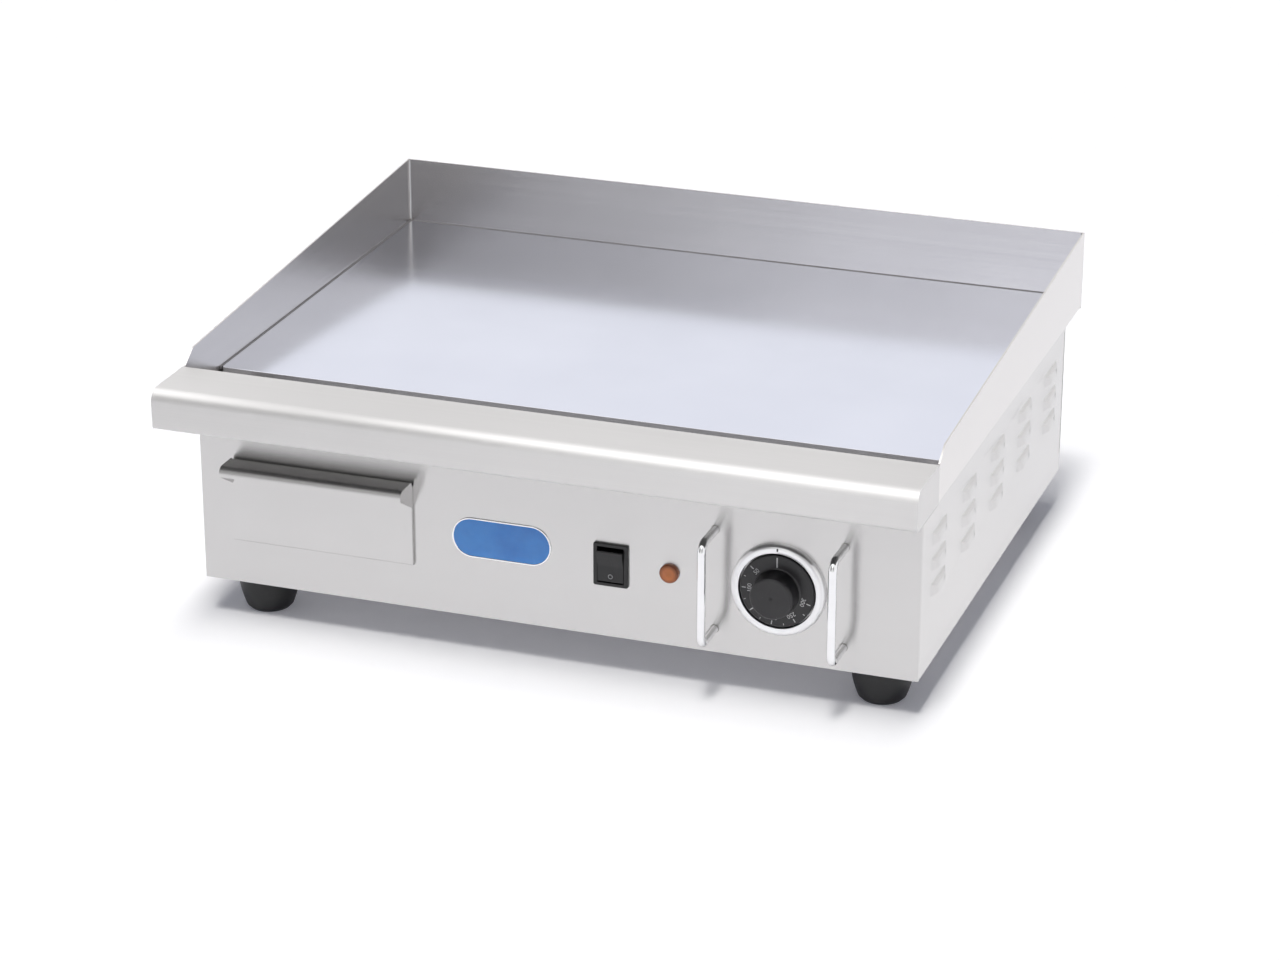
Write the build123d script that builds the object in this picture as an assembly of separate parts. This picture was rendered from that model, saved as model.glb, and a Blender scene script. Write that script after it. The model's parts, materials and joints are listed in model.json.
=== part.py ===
from build123d import *
import math
import os

# Overall sizes in mm, X across, front at -Y, Z up, origin under the middle
top_width = 550.0  # outside of the splash guard
top_depth = 462.0  # rail nose to splash guard back
foot_height = 31.0
body_height = 131.0  # underside of the base to the deck
front_overhang = 51.5  # rail nose ahead of the front panel
side_overhang = 10.0  # splash guard beyond a side panel
rear_overhang = 5.0  # splash guard beyond the rear panel

# Sheet metal
sheet = 1.2
bend = 0.8  # inner bend radius
flange = 12.0
deck_flange = 15.0
base_lip = 11.0
tab_gap = 2.0  # between folded tabs that meet
corner_relief = 5.0
fit_gap = 0.3  # between pieces that slide past each other
hole_gap = 0.3  # radial, round a screw or a rod
panel_edge_round = 0.8
cut_reach = 5.0  # of a cut, either side of a panel's face

# Splash guard, rail and cooking plate
splash_back_rise = 60.0
splash_front_rise = 38.0
splash_nose_run = 13.0
splash_flange = 23.0
splash_nose_round = 3.0
rail_rise = 29.0
rail_nose_radius = 9.0
rail_rear_radius = 1.5
rail_foot_radius = 2.0
plate_thick = 8.0
plate_edge_round = 0.6
plate_gap = 0.3  # past the inner bend of the splash guard
plate_corner = 3.0

# Grease trough and drip drawer
trough_mouth = 54.0  # front panel to the plate
trough_depth = 16.0
trough_tuck = 8.0  # of the trough under the plate
trough_upstand = 11.0  # above the deck, behind the rail
spout_setback = 29.0  # behind the front panel
spout_radius = 12.0
spout_drop = 20.0
spout_rim = 5.0
spout_fit = 0.1
trough_bend = 3.0
drawer_inset = 25.0  # from the left side of the body
drawer_width = 138.0
drawer_rise = 33.0
drawer_height = 63.0
drawer_proud = 3.0
drawer_sheet = 1.0
pan_margin = 5.0
pan_headroom = 7.0
pan_depth = 240.0
pan_corner = 4.0
pull_reach = 22.5
pull_lip = 7.0
pull_heel = 19.0
pull_nose = 4.2
pull_cheek_round = 1.5
runner_ledge = 12.0
runner_side_gap = 0.8
runner_wall = 26.0
runner_overrun = 8.0
runner_leg = 28.0
runner_stop = 14.0
runner_tab_rise = 4.0
cut_gap = 1.2  # round the tray in the front panel

# Controls on the front panel
control_rise = 54.5  # above the underside of the base
dial_inset = 99.0  # from the right side of the body
switch_to_dial = 121.0
lamp_to_dial = 78.5
bezel_radius = 33.5
bezel_height = 5.5
bezel_round = 3.3
bezel_gap = 0.9
knob_radius = 26.5
knob_back = 2.2
knob_face = 5.6
hub_radius = 16.0
hub_height = 14.0
hub_taper = 0.8
hub_dish = 0.6
hub_cap = 4.0  # over the end of the spindle
hub_edge_round = 1.8
hub_foot_round = 1.6
knob_rim_round = 1.2
knob_back_round = 0.5
spindle_radius = 3.0
spindle_room = 2.0  # round the spindle in the panel
running_gap = 0.08
guard_spread = 46.0
guard_height = 74.0
guard_reach = 29.0
guard_rod = 3.0
guard_bend = 7.0
guard_tail = 9.0  # behind the panel
guard_nut = 5.0
guard_nut_across = 10.0
switch_width = 25.5
switch_height = 32.0
switch_lip = 2.2
switch_corner = 1.6
switch_edge_round = 0.9
switch_well = 9.0  # below the pivot
switch_body_w = 22.0
switch_body_h = 28.5
switch_depth = 22.0
rocker_width = 18.8
rocker_span = 12.3
rocker_tilt = 8.0
rocker_gap = 0.4
rocker_sweep = 0.8  # room for the tips as they tilt
rocker_tip_round = 1.0
rocker_valley_round = 8.0
rocker_draft = 1.0
rocker_tip = 4.0  # front of the rocker's ends, ahead of the panel
rocker_valley = 2.4
rocker_depth = 4.0
pivot_depth = 2.5
trunnion = 1.3
trunnion_end = 0.2  # short of the body on each side
contact_pitch = 11.0
contact_row_pitch = 14.0
lamp_radius = 6.9
lamp_height = 3.2
lamp_crown = 0.6
lamp_stem = 5.2
lamp_stem_length = 12.0
lamp_body_radius = 7.5
lamp_body_length = 20.0
lamp_tab_width = 4.8
lamp_tab_pitch = 6.0

# Vents, feet and cable entry
louvre_length = 36.0
louvre_height = 9.0
louvre_out = 3.2
louvre_ramp = 10.0  # of each pressed end
louvre_crest_round = 12.0
louvre_pitch = 79.0
louvre_row_pitch = 19.0
louvre_drop = 56.0  # middle row below the deck
foot_inset = 34.0
foot_top_radius = 22.5
foot_mid_radius = 21.0
foot_low_radius = 17.0
foot_screw = 2.5
foot_seat = 13.0  # depth of the screw's well
foot_well = 6.5
grommet_bore = 5.5
grommet_rise = 40.0
grommet_inset = 75.0
grommet_wall = 3.0
grommet_lip = 3.0
casing_screw_radius = 2.0
casing_screw_head = 3.8
casing_screw_rise = 2.2
casing_screw_length = 7.0
casing_screw_inset = 10.0  # from the ends of the side panel's tab
vent_length = 46.0
vent_width = 6.0
vent_pitch = 60.0
vent_row_pitch = 16.0
vent_offset = 60.0  # middle of the base vents, right of and behind the middle
foot_edge = 2.4
foot_screw_head = 5.0
foot_screw_rise = 3.4
foot_screw_tail = 8.0
foot_nut_across = 8.0
foot_nut_rise = 4.0

# Heating
element_radius = 4.0
element_margin = 45.0
element_edge = 25.0
element_drop = 34.0
element_bend = 12.0
element_turn_inset = 32.0
turn_slack = 0.02
pin_radius = 1.6
pin_length = 14.0
seat_gap = 0.05  # under the plate
bar_inset = 80.0  # outer clamp bars from the ends of the elements
bar_overrun = 9.0
bar_width = 25.0
bar_thick = 3.0
stud_radius = 3.0
stud_inset = 20.0  # corner studs from the ends of the deck flange
nut_rise = 5.0
nut_across = 10.0
stud_tail = 3.0
shield_sheet = 0.8
shield_gap = 3.0
shield_side = 9.0  # past the ends of the elements
leg_gap = 2.0  # round the legs of the elements
shield_lip_rise = 9.0
bulb_radius = 3.0
bulb_length = 95.0
capillary_radius = 1.0
capillary_bend = 9.0
capillary_lead = 65.0
capillary_offset = 19.0  # right of the dial
capillary_rise = 9.0
capillary_hole = 4.0

# Thermostat and mains parts
case_width = 46.0
case_height = 36.0
case_depth = 30.0
case_corner = 4.0
mount_plate = 1.5
mount_width = 62.0
mount_height = 22.0
mount_corner = 3.0
mount_screw = 2.0
mount_screw_head = 3.4
mount_screw_length = 7.0
mount_screw_bore = 6.0  # into the case
mount_spread = 14.0
spindle_seat = 8.0
spindle_flat = 1.8  # off the middle
blade_width = 6.3
blade_thick = 0.8
blade_length = 8.0
blade_pitch = 12.0
blade_shift = 2.0  # left of the spindle
blade_drop = 8.0
block_length = 64.0
block_width = 24.0
block_height = 20.0
block_pitch = 19.0
block_corner = 2.0
block_well = 4.2
block_well_rise = 9.0
block_bore = 2.6
block_bore_rise = 6.0
block_offset = 20.0  # left of the cable entry
block_setback = 60.0
earth_offset = 55.0
earth_radius = 2.5
earth_length = 16.0
earth_nut_seat = 5.0
earth_nut_across = 8.0
earth_nut_rise = 4.0

# Planes and levels that follow from the sizes
half_top = top_width / 2
front_y = -top_depth / 2
rear_y = top_depth / 2
panel_y = front_y + front_overhang
panel_back = panel_y + sheet
rear_face = rear_y - rear_overhang
rear_inner = rear_face - sheet
half_body = half_top - side_overhang
base_z = foot_height
floor_z = base_z + sheet
deck_z = base_z + body_height
shelf_z = deck_z + sheet
plate_rear = rear_y - sheet - bend - plate_gap
plate_front = panel_back + trough_mouth
plate_depth = plate_rear - plate_front
trough_rear = plate_front + trough_tuck
trough_z = deck_z - trough_depth
control_z = base_z + control_rise
dial_x = half_body - dial_inset
switch_x = dial_x - switch_to_dial
lamp_x = dial_x - lamp_to_dial
drawer_x0 = drawer_inset - half_body
drawer_x1 = drawer_x0 + drawer_width
drawer_mid = (drawer_x0 + drawer_x1) / 2
drawer_z0 = base_z + drawer_rise
drawer_z1 = drawer_z0 + drawer_height
drawer_face = panel_y - drawer_proud
pan_x0 = drawer_x0 + pan_margin
pan_x1 = drawer_x1 - pan_margin
pan_z0 = drawer_z0 + pan_margin
pan_z1 = drawer_z1 - pan_headroom
pan_y0 = drawer_face + sheet
pan_y1 = pan_y0 + pan_depth


def slab(x0, x1, y0, y1, z0, z1):
    return Pos((x0 + x1) / 2, (y0 + y1) / 2, (z0 + z1) / 2) * Box(x1 - x0, y1 - y0, z1 - z0)


def along_x(face, x0, x1):
    return extrude(Plane((x0, 0, 0), x_dir=(0, 1, 0), z_dir=(1, 0, 0)) * face, amount=x1 - x0)


def along_y(face, y0, y1):
    return extrude(Plane((0, y1, 0), x_dir=(1, 0, 0), z_dir=(0, -1, 0)) * face, amount=y1 - y0)


def along_z(face, z0, z1):
    return extrude(Plane((0, 0, z0)) * face, amount=z1 - z0)


def on_panel(x, z):
    return Pos(x, panel_y, z) * Rot(90, 0, 0)


# A folded sheet's section: one face follows the points, the other lies to their left
def folded(points, thick=sheet, inner=bend):
    path = [Vector(*p) for p in points]
    ways = [(b - a).normalized() for a, b in zip(path, path[1:])]
    lefts = [Vector(-w.Y, w.X) for w in ways]
    inners = inner if isinstance(inner, list) else [inner] * (len(path) - 2)
    near = []
    far = []
    shifted = [path[0] + lefts[0] * thick]
    for i, radius in enumerate(inners, start=1):
        mitre = (lefts[i - 1] + lefts[i]) * (1 / (1 + lefts[i - 1].dot(lefts[i])))
        shifted.append(path[i] + mitre * thick)
        left_turn = ways[i - 1].cross(ways[i]).Z > 0
        near.append(radius + thick if left_turn else radius)
        far.append(radius if left_turn else radius + thick)
    shifted.append(path[-1] + lefts[-1] * thick)
    side_a = FilletPolyline(*path, radius=near)
    side_b = FilletPolyline(*shifted, radius=far)
    caps = [Line(path[0], shifted[0]), Line(path[-1], shifted[-1])]
    return make_face([*side_a.edges(), *side_b.edges(), *caps])


def outline(points, radii=0.0):
    return make_face(FilletPolyline(*points, radius=radii, close=True).edges())


def rod(points, radius, corner):
    path = FilletPolyline(*points, radius=corner)
    return sweep(Plane(path @ 0, z_dir=path % 0) * Circle(radius), path=path)


def tube(inner, outer, z0, z1):
    return along_z(Circle(outer) - Circle(inner), z0, z1)


def turned(points, radii=0.0):
    return revolve(Plane.XZ * outline(points, radii), axis=Axis.Z)


parts = {}


# Side panel with pressed louvres: an arched hood, open below, whose ends ramp down to the panel
def louvre_hood(y, z):
    back = (louvre_height**2 - louvre_out**2) / (2 * louvre_out)
    centre_x = half_body - back
    radius = back + louvre_out
    low = z - louvre_height / 2
    high = z + louvre_height / 2
    run = louvre_length / 2
    crest = half_body + louvre_out
    ramp_shift = sheet * math.hypot(1, louvre_out / louvre_ramp)

    def wedge(reach, x_in):
        top = low + math.sqrt(reach**2 - (x_in - centre_x) ** 2)
        mid = (math.atan2(top - low, x_in - centre_x)) / 2
        middle = (centre_x + reach * math.cos(mid), low + reach * math.sin(mid))
        bow = ThreePointArc((centre_x + reach, low), middle, (x_in, top))
        floor = Polyline((x_in, top), (x_in, low), (centre_x + reach, low))
        return make_face([bow, *floor.edges()])

    def plan(shift):
        foot = half_body - shift
        root = foot - louvre_out
        tip = crest - shift
        lines = [(root, y - run), (foot, y - run), (tip, y - run + louvre_ramp)]
        lines += [(tip, y + run - louvre_ramp), (foot, y + run), (root, y + run)]
        round_crest = [0, 0, louvre_crest_round, louvre_crest_round, 0, 0]
        return along_z(outline(lines, round_crest), low - sheet, high + sheet)

    hood = along_y(wedge(radius, half_body - sheet / 2), y - run, y + run) & plan(0)
    void = along_y(wedge(radius - sheet, half_body - 2 * sheet), y - run, y + run) & plan(ramp_shift)
    return hood, void


tab_z0 = floor_z + base_lip + tab_gap
tab_z1 = trough_z - tab_gap
deck_y0 = trough_rear + tab_gap
deck_y1 = rear_inner - sheet - tab_gap
deck_skirt = deck_z - 2 * tab_gap
wall_x = half_body - sheet
ring = [(half_body - flange, panel_back), (half_body, panel_back)]
ring += [(half_body, rear_inner), (half_body - flange, rear_inner)]
side_panel = along_z(folded(ring), tab_z0, tab_z1)
side_panel += slab(wall_x, half_body, panel_back, rear_inner, base_z, tab_z0)
side_panel += slab(wall_x, half_body, panel_back, rear_inner, tab_z1, deck_skirt)
side_panel += slab(wall_x, half_body, panel_back, deck_y0, deck_skirt, deck_z)
deck_edge = [(half_body, deck_skirt), (half_body, deck_z), (half_body - deck_flange, deck_z)]
side_panel += along_y(folded(deck_edge), deck_y0, deck_y1)
body_mid = (panel_back + rear_inner) / 2
louvre_room = rear_inner - panel_back - 2 * flange - louvre_length
louvre_columns = int(louvre_room / louvre_pitch) + 1
for column in range(louvre_columns):
    for row in (-1, 0, 1):
        louvre_y = body_mid + (column - (louvre_columns - 1) / 2) * louvre_pitch
        hood, void = louvre_hood(louvre_y, deck_z - louvre_drop + row * louvre_row_pitch)
        side_panel = side_panel + hood - void

# Cooking plate, its studs and the holes they need
stud_x = half_body - deck_flange / 2
corner_studs = [(s * stud_x, y) for s in (-1, 1) for y in (deck_y0 + stud_inset, deck_y1 - stud_inset)]
pass_pitch = (plate_depth - 2 * element_edge) / 7
pass_y = [plate_front + element_edge + i * pass_pitch for i in range(8)]
element_x = half_top - element_margin
bar_xs = [bar_inset - element_x, 0.0, element_x - bar_inset]
bar_stud_ys = [pass_y[i] + pass_pitch / 2 for i in (0, 2, 4, 6)]
bar_studs = [(x, y) for x in bar_xs for y in bar_stud_ys]


def stud_holes(places, z0, z1):
    return [Pos(x, y, 0) * along_z(Circle(stud_radius + hole_gap), z0, z1) for x, y in places]


side_panel -= stud_holes(corner_studs, deck_z - 2 * sheet, deck_z + sheet)
parts["side_panel_right"] = side_panel
parts["side_panel_left"] = mirror(side_panel, about=Plane.YZ)

plate_half = half_top - sheet - bend - plate_gap
plate_blank = RectangleRounded(2 * plate_half, plate_depth, plate_corner)
plate_face = Pos(0, (plate_front + plate_rear) / 2) * plate_blank
plate = along_z(plate_face, shelf_z, shelf_z + plate_thick)
plate = fillet(plate.faces().sort_by(Axis.Z)[-1].edges(), plate_edge_round)
parts["cooking_plate"] = plate

# Splash guard: two sides and a back, butt welded at the corners
splash_front = panel_back
splash_end = rear_y - sheet
side_lines = [(splash_end, deck_z), (splash_end, deck_z + splash_back_rise)]
side_lines += [(splash_front + splash_nose_run, deck_z + splash_front_rise)]
side_lines += [(splash_front, deck_z + rail_rise), (splash_front, deck_z)]
side_outline = outline(side_lines, [0, 0, splash_nose_round, 0, 0])
side_shape = along_x(side_outline, half_top - splash_flange, half_top)
splash_fold = [(half_top - splash_flange, deck_z), (half_top, deck_z)]
splash_fold += [(half_top, deck_z + splash_back_rise + bend)]
splash_side = side_shape & along_y(folded(splash_fold), splash_front, splash_end)
splash_side -= stud_holes(corner_studs, deck_z - sheet, shelf_z + sheet)
parts["splash_side_right"] = splash_side
parts["splash_side_left"] = mirror(splash_side, about=Plane.YZ)

back_fold = [(rear_y, deck_z + splash_back_rise), (rear_y, deck_z), (rear_y - splash_flange, deck_z)]
splash_back = along_x(folded(list(reversed(back_fold))), -half_top, half_top)
for s in (-1, 1):
    edge = sorted((s * (half_top + 1), s * (half_top - splash_flange - fit_gap)))
    notch_y = rear_y - splash_flange - 1
    splash_back -= slab(edge[0], edge[1], notch_y, splash_end, deck_z - 1, shelf_z + bend)
parts["splash_back"] = splash_back

# Front rail: one folded box with welded end plates
rail_top = deck_z + rail_rise
rail_path = [(panel_back, shelf_z + 1), (panel_back, rail_top), (front_y, rail_top), (front_y, deck_z)]
rail_path += [(panel_y - sheet / 2, deck_z)]
rail_inner = [rail_rear_radius, rail_nose_radius - sheet, rail_foot_radius]
rail = along_x(folded(rail_path, inner=rail_inner), -half_top, half_top)
cap_lines = [(panel_back, deck_z), (panel_back, rail_top), (front_y, rail_top), (front_y, deck_z)]
cap_face = outline(cap_lines, [0, rail_rear_radius + sheet, rail_nose_radius, rail_foot_radius + sheet])
rail += along_x(cap_face, -half_top, sheet - half_top)
rail += along_x(cap_face, half_top - sheet, half_top)
parts["front_rail"] = rail

# Grease trough behind the rail, with a drain spout over the drawer
trough_half = half_body - sheet - fit_gap
trough_path = [(trough_rear, shelf_z), (trough_rear, trough_z), (panel_back, trough_z)]
trough_path += [(panel_back, deck_z + trough_upstand)]
trough = along_x(folded(list(reversed(trough_path)), inner=trough_bend), -trough_half, trough_half)
shelf_x = half_top - splash_flange - fit_gap
trough -= slab(-trough_half, -shelf_x, panel_back, trough_rear, deck_z, deck_z + trough_upstand)
trough -= slab(shelf_x, trough_half, panel_back, trough_rear, deck_z, deck_z + trough_upstand)
trough_end = [(panel_back, deck_z), (panel_back, trough_z), (trough_rear, trough_z), (trough_rear, deck_z)]
end_face = outline(trough_end, [0, trough_bend + sheet, trough_bend + sheet, 0])
trough += along_x(end_face, -trough_half, sheet - trough_half)
trough += along_x(end_face, trough_half - sheet, trough_half)
spout_y = panel_back + spout_setback
spout_place = Pos(drawer_mid, spout_y, 0)
trough -= spout_place * along_z(Circle(spout_radius + spout_fit), trough_z - 1, trough_z + sheet + 1)
parts["grease_trough"] = trough
spout_top = trough_z + sheet
spout = tube(spout_radius - sheet, spout_radius, trough_z - spout_drop, spout_top)
spout += tube(spout_radius - sheet, spout_radius + spout_rim, spout_top, spout_top + sheet)
parts["drain_spout"] = spout_place * spout

# Front panel with its cut-outs
front_panel = slab(-half_body, half_body, panel_y, panel_back, base_z, deck_z)
front_panel = fillet(front_panel.edges().filter_by(Axis.Z).group_by(Axis.Y)[0], panel_edge_round)
front_panel -= slab(
    pan_x0 - cut_gap, pan_x1 + cut_gap, panel_y - 1, panel_back + 1, pan_z0 - cut_gap, pan_z1 + cut_gap
)
guard_x = [dial_x + s * guard_spread for s in (-1, 1)]
guard_z = [control_z + s * guard_height / 2 for s in (-1, 1)]
guard_feet = [(x, z) for x in guard_x for z in guard_z]
thermostat_screws = [(dial_x + s * mount_spread, control_z) for s in (-1, 1)]


def panel_cut(x, z, shape):
    return on_panel(x, z) * along_z(shape, -cut_reach, cut_reach)


panel_cuts = [panel_cut(x, z, Circle(guard_rod + hole_gap)) for x, z in guard_feet]
panel_cuts += [panel_cut(x, z, Circle(mount_screw + hole_gap)) for x, z in thermostat_screws]
panel_cuts += [panel_cut(dial_x, control_z, Circle(spindle_radius + spindle_room))]
panel_cuts += [panel_cut(lamp_x, control_z, Circle(lamp_stem + hole_gap))]
switch_cut = Rectangle(switch_body_w + 2 * fit_gap, switch_body_h + 2 * fit_gap)
panel_cuts += [panel_cut(switch_x, control_z, switch_cut)]
front_panel -= panel_cuts
parts["front_panel"] = front_panel

# Rear panel and cable grommet
grommet_x = half_body - grommet_inset
grommet_z = base_z + grommet_rise
grommet_place = Pos(grommet_x, rear_face, grommet_z) * Rot(-90, 0, 0)
grommet_neck = grommet_bore + grommet_wall
rear_screws = []
for s in (-1, 1):
    for rise in (tab_z0 + casing_screw_inset, tab_z1 - casing_screw_inset):
        rear_screws.append((s * (half_body - (flange + sheet) / 2), rise))
rear_panel = slab(-half_body, half_body, rear_inner, rear_face, base_z, deck_z)
rear_panel -= grommet_place * along_z(Circle(grommet_neck), -cut_reach, cut_reach)
for x, z in rear_screws:
    drill = along_z(Circle(casing_screw_radius + hole_gap), -cut_reach, cut_reach)
    hole = Pos(x, rear_face, z) * Rot(-90, 0, 0) * drill
    rear_panel -= hole
    parts["side_panel_right"] -= hole
    parts["side_panel_left"] -= hole
parts["rear_panel"] = rear_panel
grommet_rim = grommet_neck + grommet_wall
grommet_lines = [(grommet_bore, grommet_lip), (grommet_rim, grommet_lip), (grommet_rim, 0)]
grommet_lines += [(grommet_neck, 0), (grommet_neck, -sheet), (grommet_rim, -sheet)]
grommet_lines += [(grommet_rim, -sheet - grommet_lip), (grommet_bore, -sheet - grommet_lip)]
grommet = turned(grommet_lines, [0, grommet_lip / 2, 0, 0, 0, 0, grommet_lip / 2, 0])
parts["cable_grommet"] = grommet_place * grommet


def pan_screw(shank, head, rise, length):
    dome = turned([(0, 0), (head, 0), (head, rise), (0, rise)], [0, 0, rise * 0.6, 0])
    return dome + along_z(Circle(shank), -length, 0)


def hex_nut(bore, across, rise):
    blank = RegularPolygon(across / 2, 6, major_radius=False) - Circle(bore)
    return along_z(blank, 0, rise)


casing_screw = pan_screw(casing_screw_radius, casing_screw_head, casing_screw_rise, casing_screw_length)
screw_places = [Pos(x, rear_face, z) * Rot(-90, 0, 0) for x, z in rear_screws]
parts["casing_screws"] = Compound(children=[place * casing_screw for place in screw_places])

# Base pan, feet and their fasteners
pan_wall = half_body - sheet
base_across = [(-pan_wall, floor_z + base_lip), (-pan_wall, base_z), (pan_wall, base_z)]
base_across += [(pan_wall, floor_z + base_lip)]
base_along = [(panel_back, floor_z + base_lip), (panel_back, base_z), (rear_inner, base_z)]
base_along += [(rear_inner, floor_z + base_lip)]
base = along_y(folded(base_across), panel_back + corner_relief, rear_inner - corner_relief)
base += along_x(folded(base_along), corner_relief - pan_wall, pan_wall - corner_relief)
foot_front = panel_y + foot_inset
foot_rear = rear_face - foot_inset
foot_x = half_body - foot_inset
foot_spots = {
    "front_left": (-foot_x, foot_front),
    "front_right": (foot_x, foot_front),
    "rear_left": (-foot_x, foot_rear),
    "rear_right": (foot_x, foot_rear),
}
foot_hole = along_z(Circle(foot_screw + hole_gap), base_z - sheet, floor_z + sheet)
base -= [Pos(x, y, 0) * foot_hole for x, y in foot_spots.values()]
vent_slot = along_z(SlotOverall(vent_length, vent_width), base_z - sheet, floor_z + sheet)
for column in (-2, -1, 0, 1, 2):
    for row in (-1, 0, 1):
        base -= Pos(vent_offset + column * vent_pitch, vent_offset + row * vent_row_pitch, 0) * vent_slot
foot_bulge = (foot_mid_radius, foot_height / 2)
foot_curve = ThreePointArc((foot_low_radius, foot_edge), foot_bulge, (foot_top_radius, foot_height))
foot_rest = Polyline(
    (foot_top_radius, foot_height),
    (foot_screw + hole_gap, foot_height),
    (foot_screw + hole_gap, foot_seat),
    (foot_well, foot_seat),
    (foot_well, 0),
    (foot_low_radius - foot_edge, 0),
    (foot_low_radius, foot_edge),
)
foot = revolve(Plane.XZ * make_face([foot_curve, *foot_rest.edges()]), axis=Axis.Z)
for name, (x, y) in foot_spots.items():
    parts["foot_" + name] = Pos(x, y, 0) * foot
foot_reach = floor_z + foot_screw_tail - foot_seat
foot_bolt = pan_screw(foot_screw, foot_screw_head, foot_screw_rise, foot_reach)
foot_bolt = Pos(0, 0, foot_seat) * Rot(180, 0, 0) * foot_bolt
foot_nut = Pos(0, 0, floor_z) * hex_nut(foot_screw + seat_gap, foot_nut_across, foot_nut_rise)
parts["foot_screws"] = Compound(children=[Pos(x, y, 0) * foot_bolt for x, y in foot_spots.values()])
parts["foot_nuts"] = Compound(children=[Pos(x, y, 0) * foot_nut for x, y in foot_spots.values()])
parts["base_pan"] = base

# Drip drawer: folded front with a hooded pull, and the tray behind it
nose_y = panel_y - pull_reach
lip_z = drawer_z1 - pull_lip
under_z = drawer_z1 - sheet
front_path = [(nose_y + sheet, lip_z), (nose_y + sheet, under_z), (drawer_face, under_z)]
front_path += [(drawer_face, drawer_z0), (panel_y - fit_gap, drawer_z0)]
front_sheet = folded(front_path, inner=[pull_nose, bend, bend])
drawer_front = along_x(front_sheet, drawer_x0, drawer_x1)
gusset_lines = [(drawer_face + sheet / 2, drawer_z1), (nose_y, drawer_z1), (nose_y, lip_z)]
gusset_lines += [(drawer_face + sheet / 2, drawer_z1 - pull_heel)]
gusset = outline(gusset_lines, [0, pull_nose + sheet, pull_cheek_round, 0])
drawer_front += along_x(gusset, drawer_x0, drawer_x0 + sheet)
drawer_front += along_x(gusset, drawer_x1 - sheet, drawer_x1)
return_y = panel_y - fit_gap
return_z1 = drawer_z1 - bend - 2 * sheet
return_y0 = drawer_face + sheet / 2
return_z0 = drawer_z0 + sheet / 2
for x in (drawer_x0, drawer_x1 - sheet):
    drawer_front += slab(x, x + sheet, return_y0, return_y, return_z0, return_z1)
parts["drawer_front"] = drawer_front
tray = slab(pan_x0, pan_x1, pan_y0, pan_y1, pan_z0, pan_z1)
tray = fillet(tray.edges().filter_by(Axis.Z), pan_corner)
tray = fillet(tray.faces().sort_by(Axis.Z)[0].edges(), pan_corner - drawer_sheet)
hollow = slab(
    pan_x0 + drawer_sheet,
    pan_x1 - drawer_sheet,
    pan_y0 + drawer_sheet,
    pan_y1 - drawer_sheet,
    pan_z0 + drawer_sheet,
    pan_z1 + 1,
)
hollow = fillet(hollow.edges().filter_by(Axis.Z), pan_corner - drawer_sheet)
hollow = fillet(hollow.faces().sort_by(Axis.Z)[0].edges(), pan_corner - 2 * drawer_sheet)
parts["drawer_tray"] = tray - hollow

# Runners: a ledge under the tray, tabs on the front panel and a leg to the base
ledge_z = pan_z0 - fit_gap
runner_end = pan_y1 + runner_overrun
runner_x = pan_x1 + runner_side_gap
runner_fold = [(runner_x - runner_ledge, ledge_z - sheet), (runner_x + sheet, ledge_z - sheet)]
runner_fold += [(runner_x + sheet, ledge_z + runner_wall)]
runner = along_y(folded(runner_fold), panel_back, runner_end)
runner_z1 = ledge_z + runner_wall
runner_tab_z = ledge_z + runner_tab_rise
runner += slab(runner_x, runner_x + flange, panel_back, panel_back + sheet, runner_tab_z, runner_z1)
leg_fold = [(runner_x, ledge_z + runner_wall / 2), (runner_x, floor_z), (runner_x + flange, floor_z)]
runner += along_y(folded(leg_fold), runner_end - runner_leg, runner_end)
stop_z = ledge_z + runner_stop
stop_x = runner_x - runner_ledge
runner += slab(stop_x, runner_x + sheet, runner_end, runner_end + sheet, ledge_z - sheet, stop_z)
parts["drawer_runner_right"] = runner
runner_flip = Plane((drawer_mid, 0, 0), x_dir=(0, 1, 0), z_dir=(1, 0, 0))
parts["drawer_runner_left"] = mirror(runner, about=runner_flip)

# Heating elements, clamp bars, shield, studs and nuts
element_z = shelf_z - seat_gap - element_radius
turn_x = element_x - element_turn_inset
turn = pass_pitch / 2 - turn_slack
low_z = element_z - element_drop


def heater(first):
    y = pass_y[first : first + 4]
    places = [(element_x, y[0], low_z), (element_x, y[0], element_z), (-element_x, y[0], element_z)]
    places += [(-element_x, y[1], element_z), (turn_x, y[1], element_z), (turn_x, y[2], element_z)]
    places += [(-element_x, y[2], element_z), (-element_x, y[3], element_z), (element_x, y[3], element_z)]
    places += [(element_x, y[3], low_z)]
    return rod(places, element_radius, [element_bend, turn, turn, turn, turn, turn, turn, element_bend])


parts["heating_element_front"] = heater(0)
parts["heating_element_rear"] = heater(4)
pin_spots = [(element_x, pass_y[i]) for i in (0, 3, 4, 7)]
pin = along_z(Circle(pin_radius), low_z - pin_length, low_z)
parts["element_pins"] = Compound(children=[Pos(x, y, 0) * pin for x, y in pin_spots])
bar_top = element_z - element_radius - seat_gap
bar_z = bar_top - bar_thick
bar_y0 = pass_y[0] - bar_overrun
bar_y1 = pass_y[7] + bar_overrun
clamp_bars = []
for x in bar_xs:
    blank = slab(x - bar_width / 2, x + bar_width / 2, bar_y0, bar_y1, bar_z, bar_top)
    clamp_bars.append(blank - stud_holes([(x, y) for y in bar_stud_ys], bar_z - 1, bar_top + 1))
parts["element_clamp_bars"] = Compound(children=clamp_bars)
shield_z = bar_z - shield_sheet
shield_x = element_x + element_radius + shield_side
shield_y0 = trough_rear + shield_gap
shield_y1 = bar_y1 + shield_gap
shield_lip = shield_z + shield_lip_rise
shield_across = [(-shield_x, shield_lip), (-shield_x, shield_z)]
shield_across += [(shield_x, shield_z), (shield_x, shield_lip)]
shield_along = [(shield_y0, shield_lip), (shield_y0, shield_z)]
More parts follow.
